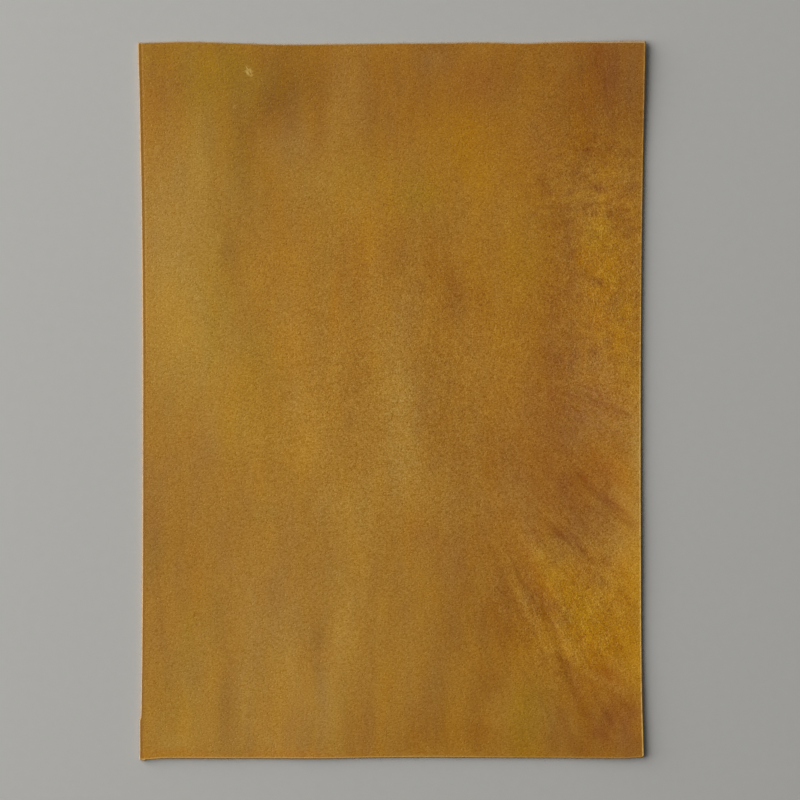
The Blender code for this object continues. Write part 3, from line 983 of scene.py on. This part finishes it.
def dyed(place, field, colours, clouds, wrinkles, strands):
    """The colour of the grain: the drifts of the dye, with some painted shade and light among them, the
    streaks along them, what the wrinkles hold, and the shade painted in the creases.
    """
    # Streaks run along the sheet, and spread out towards the foot at the belly side
    swayed = place + cloudy(place, STREAK_SWAY) * STREAK_SWAY_SHIFT
    straight = cloudy(swayed, STREAK, detail=4.0, roughness=0.65, spread=(1.0, 7.0, 1.0))
    spreading = cloudy(fanned(place), FAN_STREAK, detail=4.0, roughness=0.65, spread=(1.0, 7.0, 1.0))
    streaks = straight * ((1.0 - field["fan"]) * (0.45 + field["combed"])) + spreading * field["fan"]
    hues = cloudy(swayed + HUES_ELSEWHERE, HUE_CLOUD, detail=2.0, spread=(1.0, 3.0, 1.0))
    patchy = cloudy(place, BLOTCH, detail=1.5) * field["loose"] * field["loose"]
    mottles = cloudy(turned(place, MOTTLE_LEAN), MOTTLE, detail=2.0, spread=(1.8, 1.0, 1.0))
    mottles = mottles * field["mottled"]

    towards = {name: tuple(Vector(getattr(colours, name)) - Vector(colours.base)) for name in TINTS}
    colour = tuple(colours.base)
    for name in TINTS:
        colour = field[name] * (0.85 + streaks * 0.9) * towards[name] + colour
    colour = colour + (streaks * (1.0 + field["fan"]) + clouds * 0.7) * towards["dark_dye_and_shade"]
    colour = colour + wrinkles * field["fan"] * 1.1 * towards["dark_dye_and_shade"]
    colour = colour + hues * 0.55 * towards["gold"] - hues * 0.55 * towards["cool"]
    colour = colour + patchy * 1.4 * towards["gold"] - patchy * 1.5 * towards["dark_dye_and_shade"]
    colour = colour + mottles * 0.7 * towards["gold"] - mottles * 2.6 * towards["dark_dye_and_shade"]
    # Painted shade in the creases, in the colour of the dark dye
    colour = colour + field["crease_shade"] * (1.0 + wrinkles * 1.8) * towards["dark_dye_and_shade"]
    return colour + strands * field["loose"] * 0.55 * towards["pale"]


def marked(place, field, colours, colour, fine):
    """The colour with its scuffs, the burnished band and the worn rim on it."""
    scratches = cloudy(turned(place, SCRATCH_LEAN), SCRATCH, detail=1.0, spread=(1.0, 6.0, 1.0))
    scratches = scratches.eased(-0.12, 0.10)
    for mark in SCUFFS:
        colour = (mark_mask(place, mark) * scratches * mark.strength).blended(colour, tuple(colours.scuff))
    colour = (field["rim"] * (0.9 + fine)).blended(colour, tuple(colours.burnish))
    return (field["worn"] * (1.5 + fine)).blended(colour, tuple(colours.worn_rim))


def make_grain(sizes, colours):
    """The dyed grain side: drifts of colour, streaks, pebbles, pores, creases and scuffs, with painted
    shade and light on the grain and in the creases.
    """
    material, place, shader = start_material("tanned_grain")
    field = grain_fields(place)
    clouds = cloudy(place, DYE_CLOUD, detail=5.0, roughness=0.6, spread=(1.0, 1.4, 1.0))
    wrinkles = cloudy(fanned(place), WRINKLE, detail=2.0, spread=(1.0, 8.0, 1.0))
    winding = cloudy(turned(place, STRAND_LEAN), STRAND_BEND, detail=2.0, spread=(1.0, 2.2, 1.0))
    strands = 1.0 - winding.node("ShaderNodeMath", {"operation": "ABSOLUTE"}, {0: winding}).eased(0.0, 0.05)
    pebbles, pores, fine = grain_cells(place, field, sizes)

    # Painted shade makes the hollows between the pebbles and the pores darker and redder, and painted light
    # makes the tops of the pebbles lighter
    grain_depth = 0.27 + field["loose"] * 0.44
    painted_grain_shading = grain_depth * (pebbles * 2.4 - 1.10) - fine * 4.8 + pores * grain_depth * 0.45
    to_pore = tuple(pore / base - 1.0 for pore, base in zip(colours.pore, colours.base))
    colour = dyed(place, field, colours, clouds, wrinkles, strands) * (painted_grain_shading * to_pore + 1.0)
    colour = marked(place, field, colours, colour, fine)

    height = grain_depth * (1.0 - pebbles) + fine * 0.6 - pores * 0.5 + wrinkles * field["fan"] * 1.2
    height = height + strands * field["loose"] * 0.5
    gloss = 0.46 + clouds * 0.10 + fine * 0.12 + field["loose"] * 0.05 - field["dark_dye_and_shade"] * 0.04
    normal = bumped(height, sizes.relief)
    feed(shader, base_color=colour, roughness=gloss, specular_ior_level=0.25, normal=normal)
    return material


def make_cut_edge(colours):
    """The raw cut: tan layers of fibre that run along the edge."""
    material, place, shader = start_material("raw_cut_edge")
    layers = cloudy(place, 0.00045, detail=3.0, roughness=0.65, spread=(5.0, 5.0, 1.0))
    fibres = cloudy(place, 0.00018, detail=2.0, roughness=0.7)
    mask = (layers * 1.2 + fibres * 0.8).eased(-0.35, 0.40)
    colour = mask.blended(tuple(colours.cut_fibre), tuple(colours.cut_edge))
    feed(shader, base_color=colour, roughness=0.86, normal=bumped(layers + fibres * 0.8, CUT_RELIEF))
    return material


def make_flesh(colours):
    """The flesh side: bare suede with a short nap and loose strands."""
    material, place, shader = start_material("flesh_side")
    nap = cloudy(place, 0.0009, detail=4.0, roughness=0.7)
    strands = cloudy(turned(place, NAP_LEAN), 0.0006, detail=3.0, roughness=0.7, spread=(1.0, 7.0, 1.0))
    clouds = cloudy(place, 0.030, detail=3.0)
    mask = (nap * 1.1 + strands * 0.9 + clouds * 0.7).eased(-0.45, 0.45)
    colour = mask.blended(tuple(colours.flesh_nap), tuple(colours.flesh))
    feed(shader, base_color=colour, roughness=0.93, normal=bumped(nap * 0.8 + strands, NAP_RELIEF))
    return material


def make_fibre(colours):
    """The loose fibres, in the colours of the cut."""
    material, place, shader = start_material("loose_fibre")
    mask = cloudy(place, 0.003).eased(-0.3, 0.3)
    feed(shader, base_color=mask.blended(tuple(colours.cut_fibre), tuple(colours.cut_edge)), roughness=0.8)
    return material


def eased(share):
    """Share from 0 to 1, with a level start and end."""
    return share * share * (3.0 - 2.0 * share)


def faded(places, low, high):
    """0 below low, 1 above high, with soft turns between."""
    return eased(np.clip((places - low) / (high - low), 0.0, 1.0))


def inset_at(cut, places):
    """The inset of a cut at these places along it, with soft turns between the table's own places."""
    inset = np.full_like(places, cut[0].inset)
    for (here, here_inset), (beyond, beyond_inset) in zip(cut, cut[1:]):
        inset += (beyond_inset - here_inset) * eased(np.clip((places - here) / (beyond - here), 0.0, 1.0))
    return inset


def half_width_at(row):
    """Half the sheet's width, with row from -1 at the foot to 1 at the head."""
    waist = WAIST_WIDTH / 2
    head = (HEAD_WIDTH / 2 - waist) * np.clip(row, 0, 1) ** HEAD_FLARE_POWER
    foot = (FOOT_WIDTH / 2 - waist) * np.clip(-row, 0, 1) ** FOOT_FLARE_POWER
    return waist + head + foot


def from_side(across, along, side):
    """How far inside the long cut each place is, for the side at -X or +X."""
    return half_width_at(2 * along / LENGTH) - side * across


def from_end(across, along, end):
    """How far inside the short cut each place is, for the foot at -1 or the head at 1."""
    return LENGTH / 2 - inset_at(END_CUTS[end], across) - end * along


def places_along(stretches):
    """Places from -1 to 1, spaced by the pitch of each stretch."""
    places = [0.0]
    for stretch in stretches:
        start = places[-1]
        count = max(1, round((stretch.until - start) / stretch.pitch))
        places += [start + (stretch.until - start) * (step + 1) / count for step in range(count)]
    return 2 * np.array(places) / stretches[-1].until - 1


def drawn_out(across, along):
    """The places, shifted so that what is drawn at them wavers."""
    shift = np.zeros((len(across), 3))
    for warp in WARPS:
        places = zip(across / warp.across, along / warp.along)
        shift += warp.shift * np.array([noise.noise_vector(Vector((x, y, 0.0))) for x, y in places])
    return across + shift[:, 0], along + shift[:, 1]


def patch_weight(across, along, patch):
    """The weight of one patch: its strength in the middle, and half of it at half its breadth or length."""
    lean = math.radians(patch.lean)
    off_across, off_along = across - patch.across, along - patch.along
    side = (off_across * math.cos(lean) - off_along * math.sin(lean)) / (patch.wide / 2)
    run = (off_across * math.sin(lean) + off_along * math.cos(lean)) / (patch.long / 2)
    return patch.strength * np.exp2(-(side**2 + run**2))


def lift_at(across, along):
    """How far the flesh side stands off the surface."""
    height = np.zeros_like(across)
    for lift in LIFTS:
        off_across = (across - lift.across) / lift.reach_across
        off_along = (along - lift.along) / lift.reach_along
        height += lift.height * np.clip(1.0 - off_across**2 - off_along**2, 0.0, 1.0) ** 2
    return height


def softened(points):
    """The points of a crease with its corners cut, so that it runs in a soft line."""
    path = [Vector(point) for point in points]
    for _ in range(CORNER_CUTS):
        cut = [path[0]]
        for here, beyond in zip(path, path[1:]):
            cut += [here.lerp(beyond, 0.25), here.lerp(beyond, 0.75)]
        path = [*cut, path[-1]]
    return path


def off_crease(across, along, crease):
    """How far each place is from the crease, in its half widths, and how far along the crease it is."""
    nearest = np.full_like(across, np.inf)
    travelled = np.zeros_like(across)
    path = softened(crease.points)
    for step, (here, beyond) in enumerate(zip(path, path[1:])):
        run = beyond - here
        share = ((across - here.x) * run.x + (along - here.y) * run.y) / run.length_squared
        share = np.clip(share, 0.0, 1.0)
        off = np.hypot(across - here.x - share * run.x, along - here.y - share * run.y) / crease.half_width
        closer = off < nearest
        nearest = np.where(closer, off, nearest)
        travelled = np.where(closer, (step + share) / (len(path) - 1), travelled)
    return nearest, travelled


def crease_relief(across, along):
    """How deep the creases are at each place, less their lips, and how much shade is painted there."""
    depth = np.zeros_like(across)
    shade = np.zeros_like(across)
    for crease in CREASES:
        off, travelled = off_crease(across, along, crease)
        fade = 1.0 - (2.0 * travelled - 1.0) ** 4
        trough = fade * np.clip(1.0 - off**2, 0.0, 1.0) ** 2
        lip = fade * np.clip(1.0 - ((off - 1.0) / LIP_WIDTH) ** 2, 0.0, 1.0) ** 2
        depth = np.maximum(depth, crease.depth * trough) - crease.depth * LIP_SHARE * lip
        shade = np.maximum(shade, crease.shade * fade * np.exp2(-2.0 * off**2))
    return depth, shade


def swelling(across, along, swell):
    """Soft random values from -1 to 1, in waves of the swell's size."""
    places = zip(across / swell.size, along / (swell.size * swell.spread))
    return np.array([noise.noise(Vector((x, y, swell.seed))) for x, y in places])


def rounded_corner(across, along, radius):
    """Places measured inwards from a square corner, moved onto a round one of this radius."""
    u = np.clip(1.0 - across / radius, 0.0, 1.0)
    v = np.clip(1.0 - along / radius, 0.0, 1.0)
    moved_across = np.where(u * v > 0, radius * (1.0 - u * np.sqrt(1.0 - v**2 / 2)), across)
    moved_along = np.where(u * v > 0, radius * (1.0 - v * np.sqrt(1.0 - u**2 / 2)), along)
    return moved_across, moved_along


def place_in_outline(columns, rows):
    """The points of the sheet for columns and rows, which both run from -1 to 1."""
    across = columns * half_width_at(rows)
    head = LENGTH / 2 - inset_at(HEAD_CUT, across)
    foot = -LENGTH / 2 + inset_at(FOOT_CUT, across)
    for side, end, radius in CORNERS:
        half_width = half_width_at(rows)
        off_side, off_end = rounded_corner(
            half_width * (1 - side * columns), LENGTH / 2 * (1 - end * rows), radius
        )
        near = (side * columns > 0) & (end * rows > 0)
        columns = np.where(near, side * (1 - off_side / half_width), columns)
        rows = np.where(near, end * (1 - off_end / (LENGTH / 2)), rows)
    return columns * half_width_at(rows), foot + (head - foot) * (rows + 1) / 2


def rim_distance(across, along):
    """How far inside the nearest cut each place is."""
    return np.minimum.reduce([
        *(from_side(across, along, side) for side in (-1, 1)),
        *(from_end(across, along, end) for end in (-1, 1)),
    ])


def rim_fields(across, along):
    """Where the rim is burnished by the knife at the -X side, and worn pale at the +X side and the foot."""
    from_left, from_right = (
        from_side(across, along, side) - inset_at(SIDE_SLANTS[side], along) for side in (-1, 1)
    )
    from_foot = from_end(across, along, -1) - inset_at(END_SLANTS[-1], across)
    worn_side = np.clip(1.0 - from_right / WORN_RIM_WIDTH, 0.0, 1.0)
    worn_side *= 1.0 - WORN_RIM_FADED * faded(along, *WORN_RIM_FADE)
    worn_side *= 0.8 + 0.9 * swelling(across, along, WORN_GAPS)
    worn_foot = np.clip(1.0 - from_foot / WORN_RIM_WIDTH, 0.0, 1.0)
    worn_foot *= WORN_FOOT * (1.0 - WORN_FOOT_FADED * faded(across, *WORN_FOOT_FADE))
    return {
        "rim": np.clip(1.0 - from_left / BURNISHED_WIDTH, 0.0, 1.0),
        "worn": np.clip(np.maximum(worn_side, worn_foot), 0.0, 1.0),
    }


def foot_burr(across, along):
    """How far a small burr hangs out of the foot cut beside the corner at the -X side."""
    wide = np.clip(1.0 - ((across - BURR_ACROSS) / BURR_HALF_WIDTH) ** 2, 0.0, 1.0)
    return BURR * wide * np.clip(1.0 - (along + LENGTH / 2) / BURR_RUN, 0.0, 1.0)


def knife_step(across, along):
    """How far the cut of the -X side stands out below the place where the knife was set again."""
    below = np.clip((KNIFE_STEP_ALONG - along) / KNIFE_STEP_RUN, 0.0, 1.0)
    fading = np.clip((along + LENGTH / 2) / (KNIFE_STEP_ALONG + LENGTH / 2), 0.0, 1.0)
    near_side = np.clip(1.0 - (across + FOOT_WIDTH / 2) / KNIFE_STEP_REACH, 0.0, 1.0)
    return KNIFE_STEP * eased(below) * (KNIFE_STEP_LEFT + (1.0 - KNIFE_STEP_LEFT) * fading) * near_side


def grain_height(across, along, sizes):
    """The height of the grain side above the flesh side."""
    depth, _ = crease_relief(across, along)
    inside = np.clip(rim_distance(across, along) / LEVEL_RIM, 0.0, 1.0)
    waves = swelling(across, along, WAVES) * sizes.wave_height
    flutes = swelling(across, along, FLUTES) * sizes.flute_height
    flutes *= np.clip(0.5 - along / LENGTH, 0.0, 1.0)
    off_line = from_side(across, along, -1) - PRESSED_LINE_INSET
    line = np.clip(1.0 - (off_line / PRESSED_LINE_HALF_WIDTH) ** 2, 0.0, 1.0)
    line *= faded(along, *PRESSED_LINE_FADE)
    return sizes.thickness - depth + (waves + flutes) * inside - PRESSED_LINE_DEPTH * line


def leaned_in(across, along):
    """The places of the grain side, drawn inwards where the cut leans."""
    leaned_across, leaned_along = across.copy(), along.copy()
    for side, slants in SIDE_SLANTS.items():
        near = np.clip(1.0 - from_side(across, along, side) / SLANT_FADE, 0.0, 1.0)
        leaned_across -= side * near * inset_at(slants, along)
    for end, slants in END_SLANTS.items():
        near = np.clip(1.0 - from_end(across, along, end) / SLANT_FADE, 0.0, 1.0)
        leaned_along -= end * near * inset_at(slants, across)
    return leaned_across, leaned_along


def coordinates(verts):
    return np.array([vert.co for vert in verts])


def move_to(verts, points):
    for vert, point in zip(verts, points):
        vert.co = point


def build_flesh_side(form):
    """An open grid in the outline of the cut, at the height of the flesh side."""
    columns, rows = places_along(COLUMN_STRETCHES), places_along(ROW_STRETCHES)
    bmesh.ops.create_grid(form, x_segments=len(columns) - 1, y_segments=len(rows) - 1, size=1.0)
    places = (coordinates(form.verts) + 1.0) / 2
    column_of = np.rint(places[:, 0] * (len(columns) - 1)).astype(int)
    row_of = np.rint(places[:, 1] * (len(rows) - 1)).astype(int)
    across, along = place_in_outline(columns[column_of], rows[row_of])
    across, along = across - knife_step(across, along), along - foot_burr(across, along)
    move_to(form.verts, np.column_stack((across, along, lift_at(across, along))))


def raise_grain_side(form, sizes):
    """Extrude the flesh side upwards, by the thickness of the leather at each place."""
    raised = bmesh.ops.extrude_face_region(form, geom=form.faces[:])["geom"]
    verts = [item for item in raised if isinstance(item, bmesh.types.BMVert)]
    points = coordinates(verts)
    points[:, 2] += grain_height(points[:, 0], points[:, 1], sizes)
    points[:, 0], points[:, 1] = leaned_in(points[:, 0], points[:, 1])
    move_to(verts, points)
    return verts


def is_rim(edge, on_grain):
    """Whether an edge has the grain on one side and the cut on the other."""
    return sum(on_grain.issuperset(face.verts) for face in edge.link_faces) == 1


def rough_out_edges(form, grain_verts, sizes):
    """Cut the walls into layers that can wander, and round the rim of the grain side."""
    on_grain = set(grain_verts)
    walls = [edge for edge in form.edges if len(on_grain.intersection(edge.verts)) == 1]
    bmesh.ops.subdivide_edges(form, edges=walls, cuts=WALL_CUTS, use_grid_fill=True)
    rim = [edge for edge in form.edges if on_grain.issuperset(edge.verts) and is_rim(edge, on_grain)]
    bmesh.ops.bevel(
        form, geom=rim, offset=sizes.rim_width, offset_type="OFFSET", affect="EDGES",
        segments=RIM_SEGMENTS, profile=0.5, material=-1, clamp_overlap=True,
    )


def wander_edges(form, sizes):
    """Push the walls in and out a little, each layer on its own way."""
    points = coordinates(form.verts)
    near = np.clip(1.0 - rim_distance(points[:, 0], points[:, 1]) / WANDER_REACH, 0.0, 1.0)
    broad, fine = (
        np.array([noise.noise_vector(Vector(point)) for point in points / size])
        for size in (BROAD_WANDER, FINE_WANDER)
    )
    shift = (broad + FINE_WANDER_SHARE * fine) * sizes.edge_wander * near[:, None]
    shift[:, 2] *= np.where(points[:, 2] > sizes.thickness / 2, WANDER_UPWARDS, 0.0)
    move_to(form.verts, points + shift)


def place_materials(form):
    for face in form.faces:
        face.smooth = True
        if face.normal.z > GRAIN_RISE:
            face.material_index = GRAIN
        elif face.normal.z < -FLESH_FALL:
            face.material_index = FLESH
        else:
            face.material_index = CUT_EDGE


def write_fields(mesh):
    """Store what the grain's material reads at each point of the mesh."""
    points = np.zeros(len(mesh.vertices) * 3)
    mesh.vertices.foreach_get("co", points)
    across, along = points.reshape(-1, 3)[:, 0], points.reshape(-1, 3)[:, 1]
    wavered = drawn_out(across, along)
    fields = {
        name: sum(patch_weight(*wavered, patch) for patch in patches) for name, patches in DRIFTS.items()
    }
    for name in ("loose", "fan"):
        fields[name] = np.clip(fields[name], 0.0, 1.0)
    for ribbon in RIBBONS:
        off, travelled = off_crease(across, along, ribbon)
        fields[ribbon.tint] += ribbon.strength * (1.0 - (2.0 * travelled - 1.0) ** 4) * np.exp2(-(off**2))
    # How much shade is painted in the creases
    fields["crease_shade"] = crease_relief(across, along)[1]
    fields.update(rim_fields(across, along))
    for name, values in fields.items():
        mesh.attributes.new(name, "FLOAT", "POINT").data.foreach_set("value", values.astype(np.float32))


def link_piece(name, mesh, materials):
    """An object for a finished mesh, riding on the solid's body, with these materials."""
    piece = bpy.data.objects.new(name, mesh)
    bpy.context.scene.collection.objects.link(piece)
    for material in materials:
        mesh.materials.append(material)
    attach(piece, SOLID_BODY)
    return piece


class COWHIDE_OT_sheet(bpy.types.Operator):
    """Model the cut sheet, with its creases, its cut edges and its materials"""

    bl_idname = "cowhide.sheet"
    bl_label = "Cut sheet"

    def execute(self, context):
        sizes, colours = context.scene.cowhide_sizes, context.scene.cowhide_colours
        noise.seed_set(WAVER_SEED)
        form = bmesh.new()
        build_flesh_side(form)
        rough_out_edges(form, raise_grain_side(form, sizes), sizes)
        wander_edges(form, sizes)
        bmesh.ops.recalc_face_normals(form, faces=form.faces[:])
        form.normal_update()
        place_materials(form)
        mesh = bpy.data.meshes.new(SHEET_PIECE)
        form.to_mesh(mesh)
        form.free()
        mesh.set_sharp_from_angle(angle=SHARP_ANGLE)
        write_fields(mesh)
        materials = [make_grain(sizes, colours), make_cut_edge(colours), make_flesh(colours)]
        sheet = link_piece(SHEET_PIECE, mesh, materials)
        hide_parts(SOLID_NODE)
        return {"FINISHED"}


def fibre_root(rng):
    """A place on the cut, and the way out of it."""
    out = Vector(rng.choice(((0, -1, 0), (1, 0, 0), (0, 1, 0), (-1, 0, 0))))
    run = rng.random()
    if out.y:
        across = (2 * run - 1) * (FOOT_WIDTH / 2 - FIBRE_CLEAR_OF_ENDS)
        along = out.y * (LENGTH / 2 - inset_at(END_CUTS[out.y], np.array([across]))[0])
    else:
        along = (2 * run - 1) * (LENGTH / 2 - FIBRE_CLEAR_OF_CORNERS)
        across = out.x * half_width_at(np.array([2 * along / LENGTH]))[0]
    lift = lift_at(np.array([across]), np.array([along]))[0]
    return Vector((across, along, lift + rng.uniform(*FIBRE_HEIGHTS))) - out * FIBRE_ROOT_DEPTH, out


def add_fibre(form, rng, sizes):
    """One loose fibre: a thin three-sided cone, bent along its length."""
    root, out = fibre_root(rng)
    length = sizes.fibre_length * rng.uniform(*FIBRE_SHARES) ** 2
    aim = Vector((
        out.x + rng.gauss(0, FIBRE_SPREAD), out.y + rng.gauss(0, FIBRE_SPREAD), rng.gauss(*FIBRE_RISE)
    ))
    if aim.dot(out) < FIBRE_LEAST_OUT:
        aim += out
    turn = aim.to_track_quat("Z", "Y").to_matrix()
    bend = Vector((rng.gauss(0, FIBRE_BEND), rng.gauss(0, FIBRE_BEND), 0.0)) * length
    before = len(form.verts)
    bmesh.ops.create_cone(
        form, cap_ends=True, segments=3, radius1=sizes.fibre_radius,
        radius2=sizes.fibre_radius * FIBRE_TIP, depth=length,
    )
    form.verts.ensure_lookup_table()
    sides = {
        edge for vert in form.verts[before:] for edge in vert.link_edges if edge.calc_length() > length / 2
    }
    bmesh.ops.subdivide_edges(form, edges=list(sides), cuts=FIBRE_CUTS)
    form.verts.ensure_lookup_table()
    for vert in form.verts[before:]:
        share = vert.co.z / length + 0.5
        vert.co = root + turn @ (vert.co + Vector((0, 0, length / 2)) + bend * share**2)
        vert.co.z = max(vert.co.z, FIBRE_LOWEST)


class COWHIDE_OT_fibres(bpy.types.Operator):
    bl_idname = "cowhide.fibres"
    bl_label = "Edge fibres"

    def execute(self, context):
        sizes, colours = context.scene.cowhide_sizes, context.scene.cowhide_colours
        rng = random.Random(FIBRE_SEED)
        form = bmesh.new()
        for _ in range(sizes.fibre_count):
            add_fibre(form, rng, sizes)
        bmesh.ops.recalc_face_normals(form, faces=form.faces[:])
        mesh = bpy.data.meshes.new(FIBRE_PIECE)
        form.to_mesh(mesh)
        form.free()
        mesh.shade_smooth()
        fibres = link_piece(FIBRE_PIECE, mesh, [make_fibre(colours)])
        return {"FINISHED"}


def paint_floor(stage):
    """The floor's plain material, with hardly a cloud in it."""
    material, place, shader = start_material("plain_floor")
    mottle = cloudy(place, 0.004, detail=3.0) * 0.05 + 1.0
    feed(shader, base_color=mottle * tuple(stage.floor), roughness=0.9)
    return material


def make_floor(stage):
    """A level floor just below the sheet."""
    form = bmesh.new()
    bmesh.ops.create_grid(form, x_segments=1, y_segments=1, size=FLOOR_HALF_SIDE)
    bmesh.ops.translate(form, verts=form.verts[:], vec=(0.0, 0.0, -FLOOR_BELOW))
    mesh = bpy.data.meshes.new("floor")
    form.to_mesh(mesh)
    form.free()
    mesh.materials.append(paint_floor(stage))
    return bpy.data.objects.new("floor", mesh)


def make_window(stage):
    """A soft square light that faces the sheet."""
    light = bpy.data.lights.new("window", "AREA")
    light.shape = "SQUARE"
    light.size = stage.window_size
    light.energy = stage.window_power
    height, turn = stage.window_height, stage.window_turn
    out = Vector((-math.cos(turn) * math.cos(height), math.sin(turn) * math.cos(height), math.sin(height)))
    facing = out.to_track_quat("Z", "Y").to_matrix().to_4x4()
    window = bpy.data.objects.new("window", light)
    window.matrix_world = Matrix.Translation(out * stage.window_distance) @ facing
    return window


def make_room(stage):
    """The even light of the room."""
    room = bpy.data.worlds.new("room")
    room.use_nodes = True
    background = room.node_tree.nodes["Background"]
    background.inputs["Color"].default_value = ROOM_COLOUR
    background.inputs["Strength"].default_value = stage.room_light
    return room


def make_camera(height):
    """A camera that looks straight down on the grain side, which lies at this height."""
    lens = bpy.data.cameras.new("above")
    lens.sensor_width = SENSOR_WIDTH
    lens.lens = LENS
    camera = bpy.data.objects.new("above", lens)
    camera.location = (*VIEW_CENTRE, height + VIEW_WIDTH * LENS / SENSOR_WIDTH)
    return camera


class COWHIDE_OT_stage(bpy.types.Operator):
    """Lay the floor, hang the soft window light and set the camera straight above"""

    bl_idname = "cowhide.stage"
    bl_label = "Stage"

    def execute(self, context):
        scene, stage = context.scene, context.scene.cowhide_stage
        floor, camera = make_floor(stage), make_camera(scene.cowhide_sizes.thickness)
        for piece in (floor, make_window(stage), camera):
            scene.collection.objects.link(piece)
        scene.world = make_room(stage)
        scene.camera = camera
        scene.view_settings.view_transform = "Standard"
        return {"FINISHED"}


class COWHIDE_PT_panel(bpy.types.Panel):
    """The sizes and colours of the cut sheet, and the operators that make it"""

    bl_idname = "COWHIDE_PT_panel"
    bl_label = "Cowhide cut"
    bl_space_type = "VIEW_3D"
    bl_region_type = "UI"
    bl_category = "Cowhide"

    def draw(self, context):
        for settings in (getattr(context.scene, name) for name in SETTINGS):
            box = self.layout.box()
            for name in settings.__annotations__:
                box.prop(settings, name)
        for operator in OPERATORS:
            self.layout.operator(operator.bl_idname)


SETTINGS = {"cowhide_sizes": CowhideSizes, "cowhide_colours": CowhideColours, "cowhide_stage": CowhideStage}
OPERATORS = (COWHIDE_OT_sheet, COWHIDE_OT_fibres, COWHIDE_OT_stage)


def register():
    for kind in (*SETTINGS.values(), *OPERATORS, COWHIDE_PT_panel):
        bpy.utils.register_class(kind)
    for name, group in SETTINGS.items():
        setattr(bpy.types.Scene, name, PointerProperty(type=group))


def unregister():
    for name in SETTINGS:
        delattr(bpy.types.Scene, name)
    for kind in (COWHIDE_PT_panel, *reversed(OPERATORS), *reversed(SETTINGS.values())):
        bpy.utils.unregister_class(kind)


def main():
    register()
    bpy.ops.cowhide.sheet()
    bpy.ops.cowhide.fibres()
    bpy.ops.cowhide.stage()


if __name__ == "__main__":
    main()
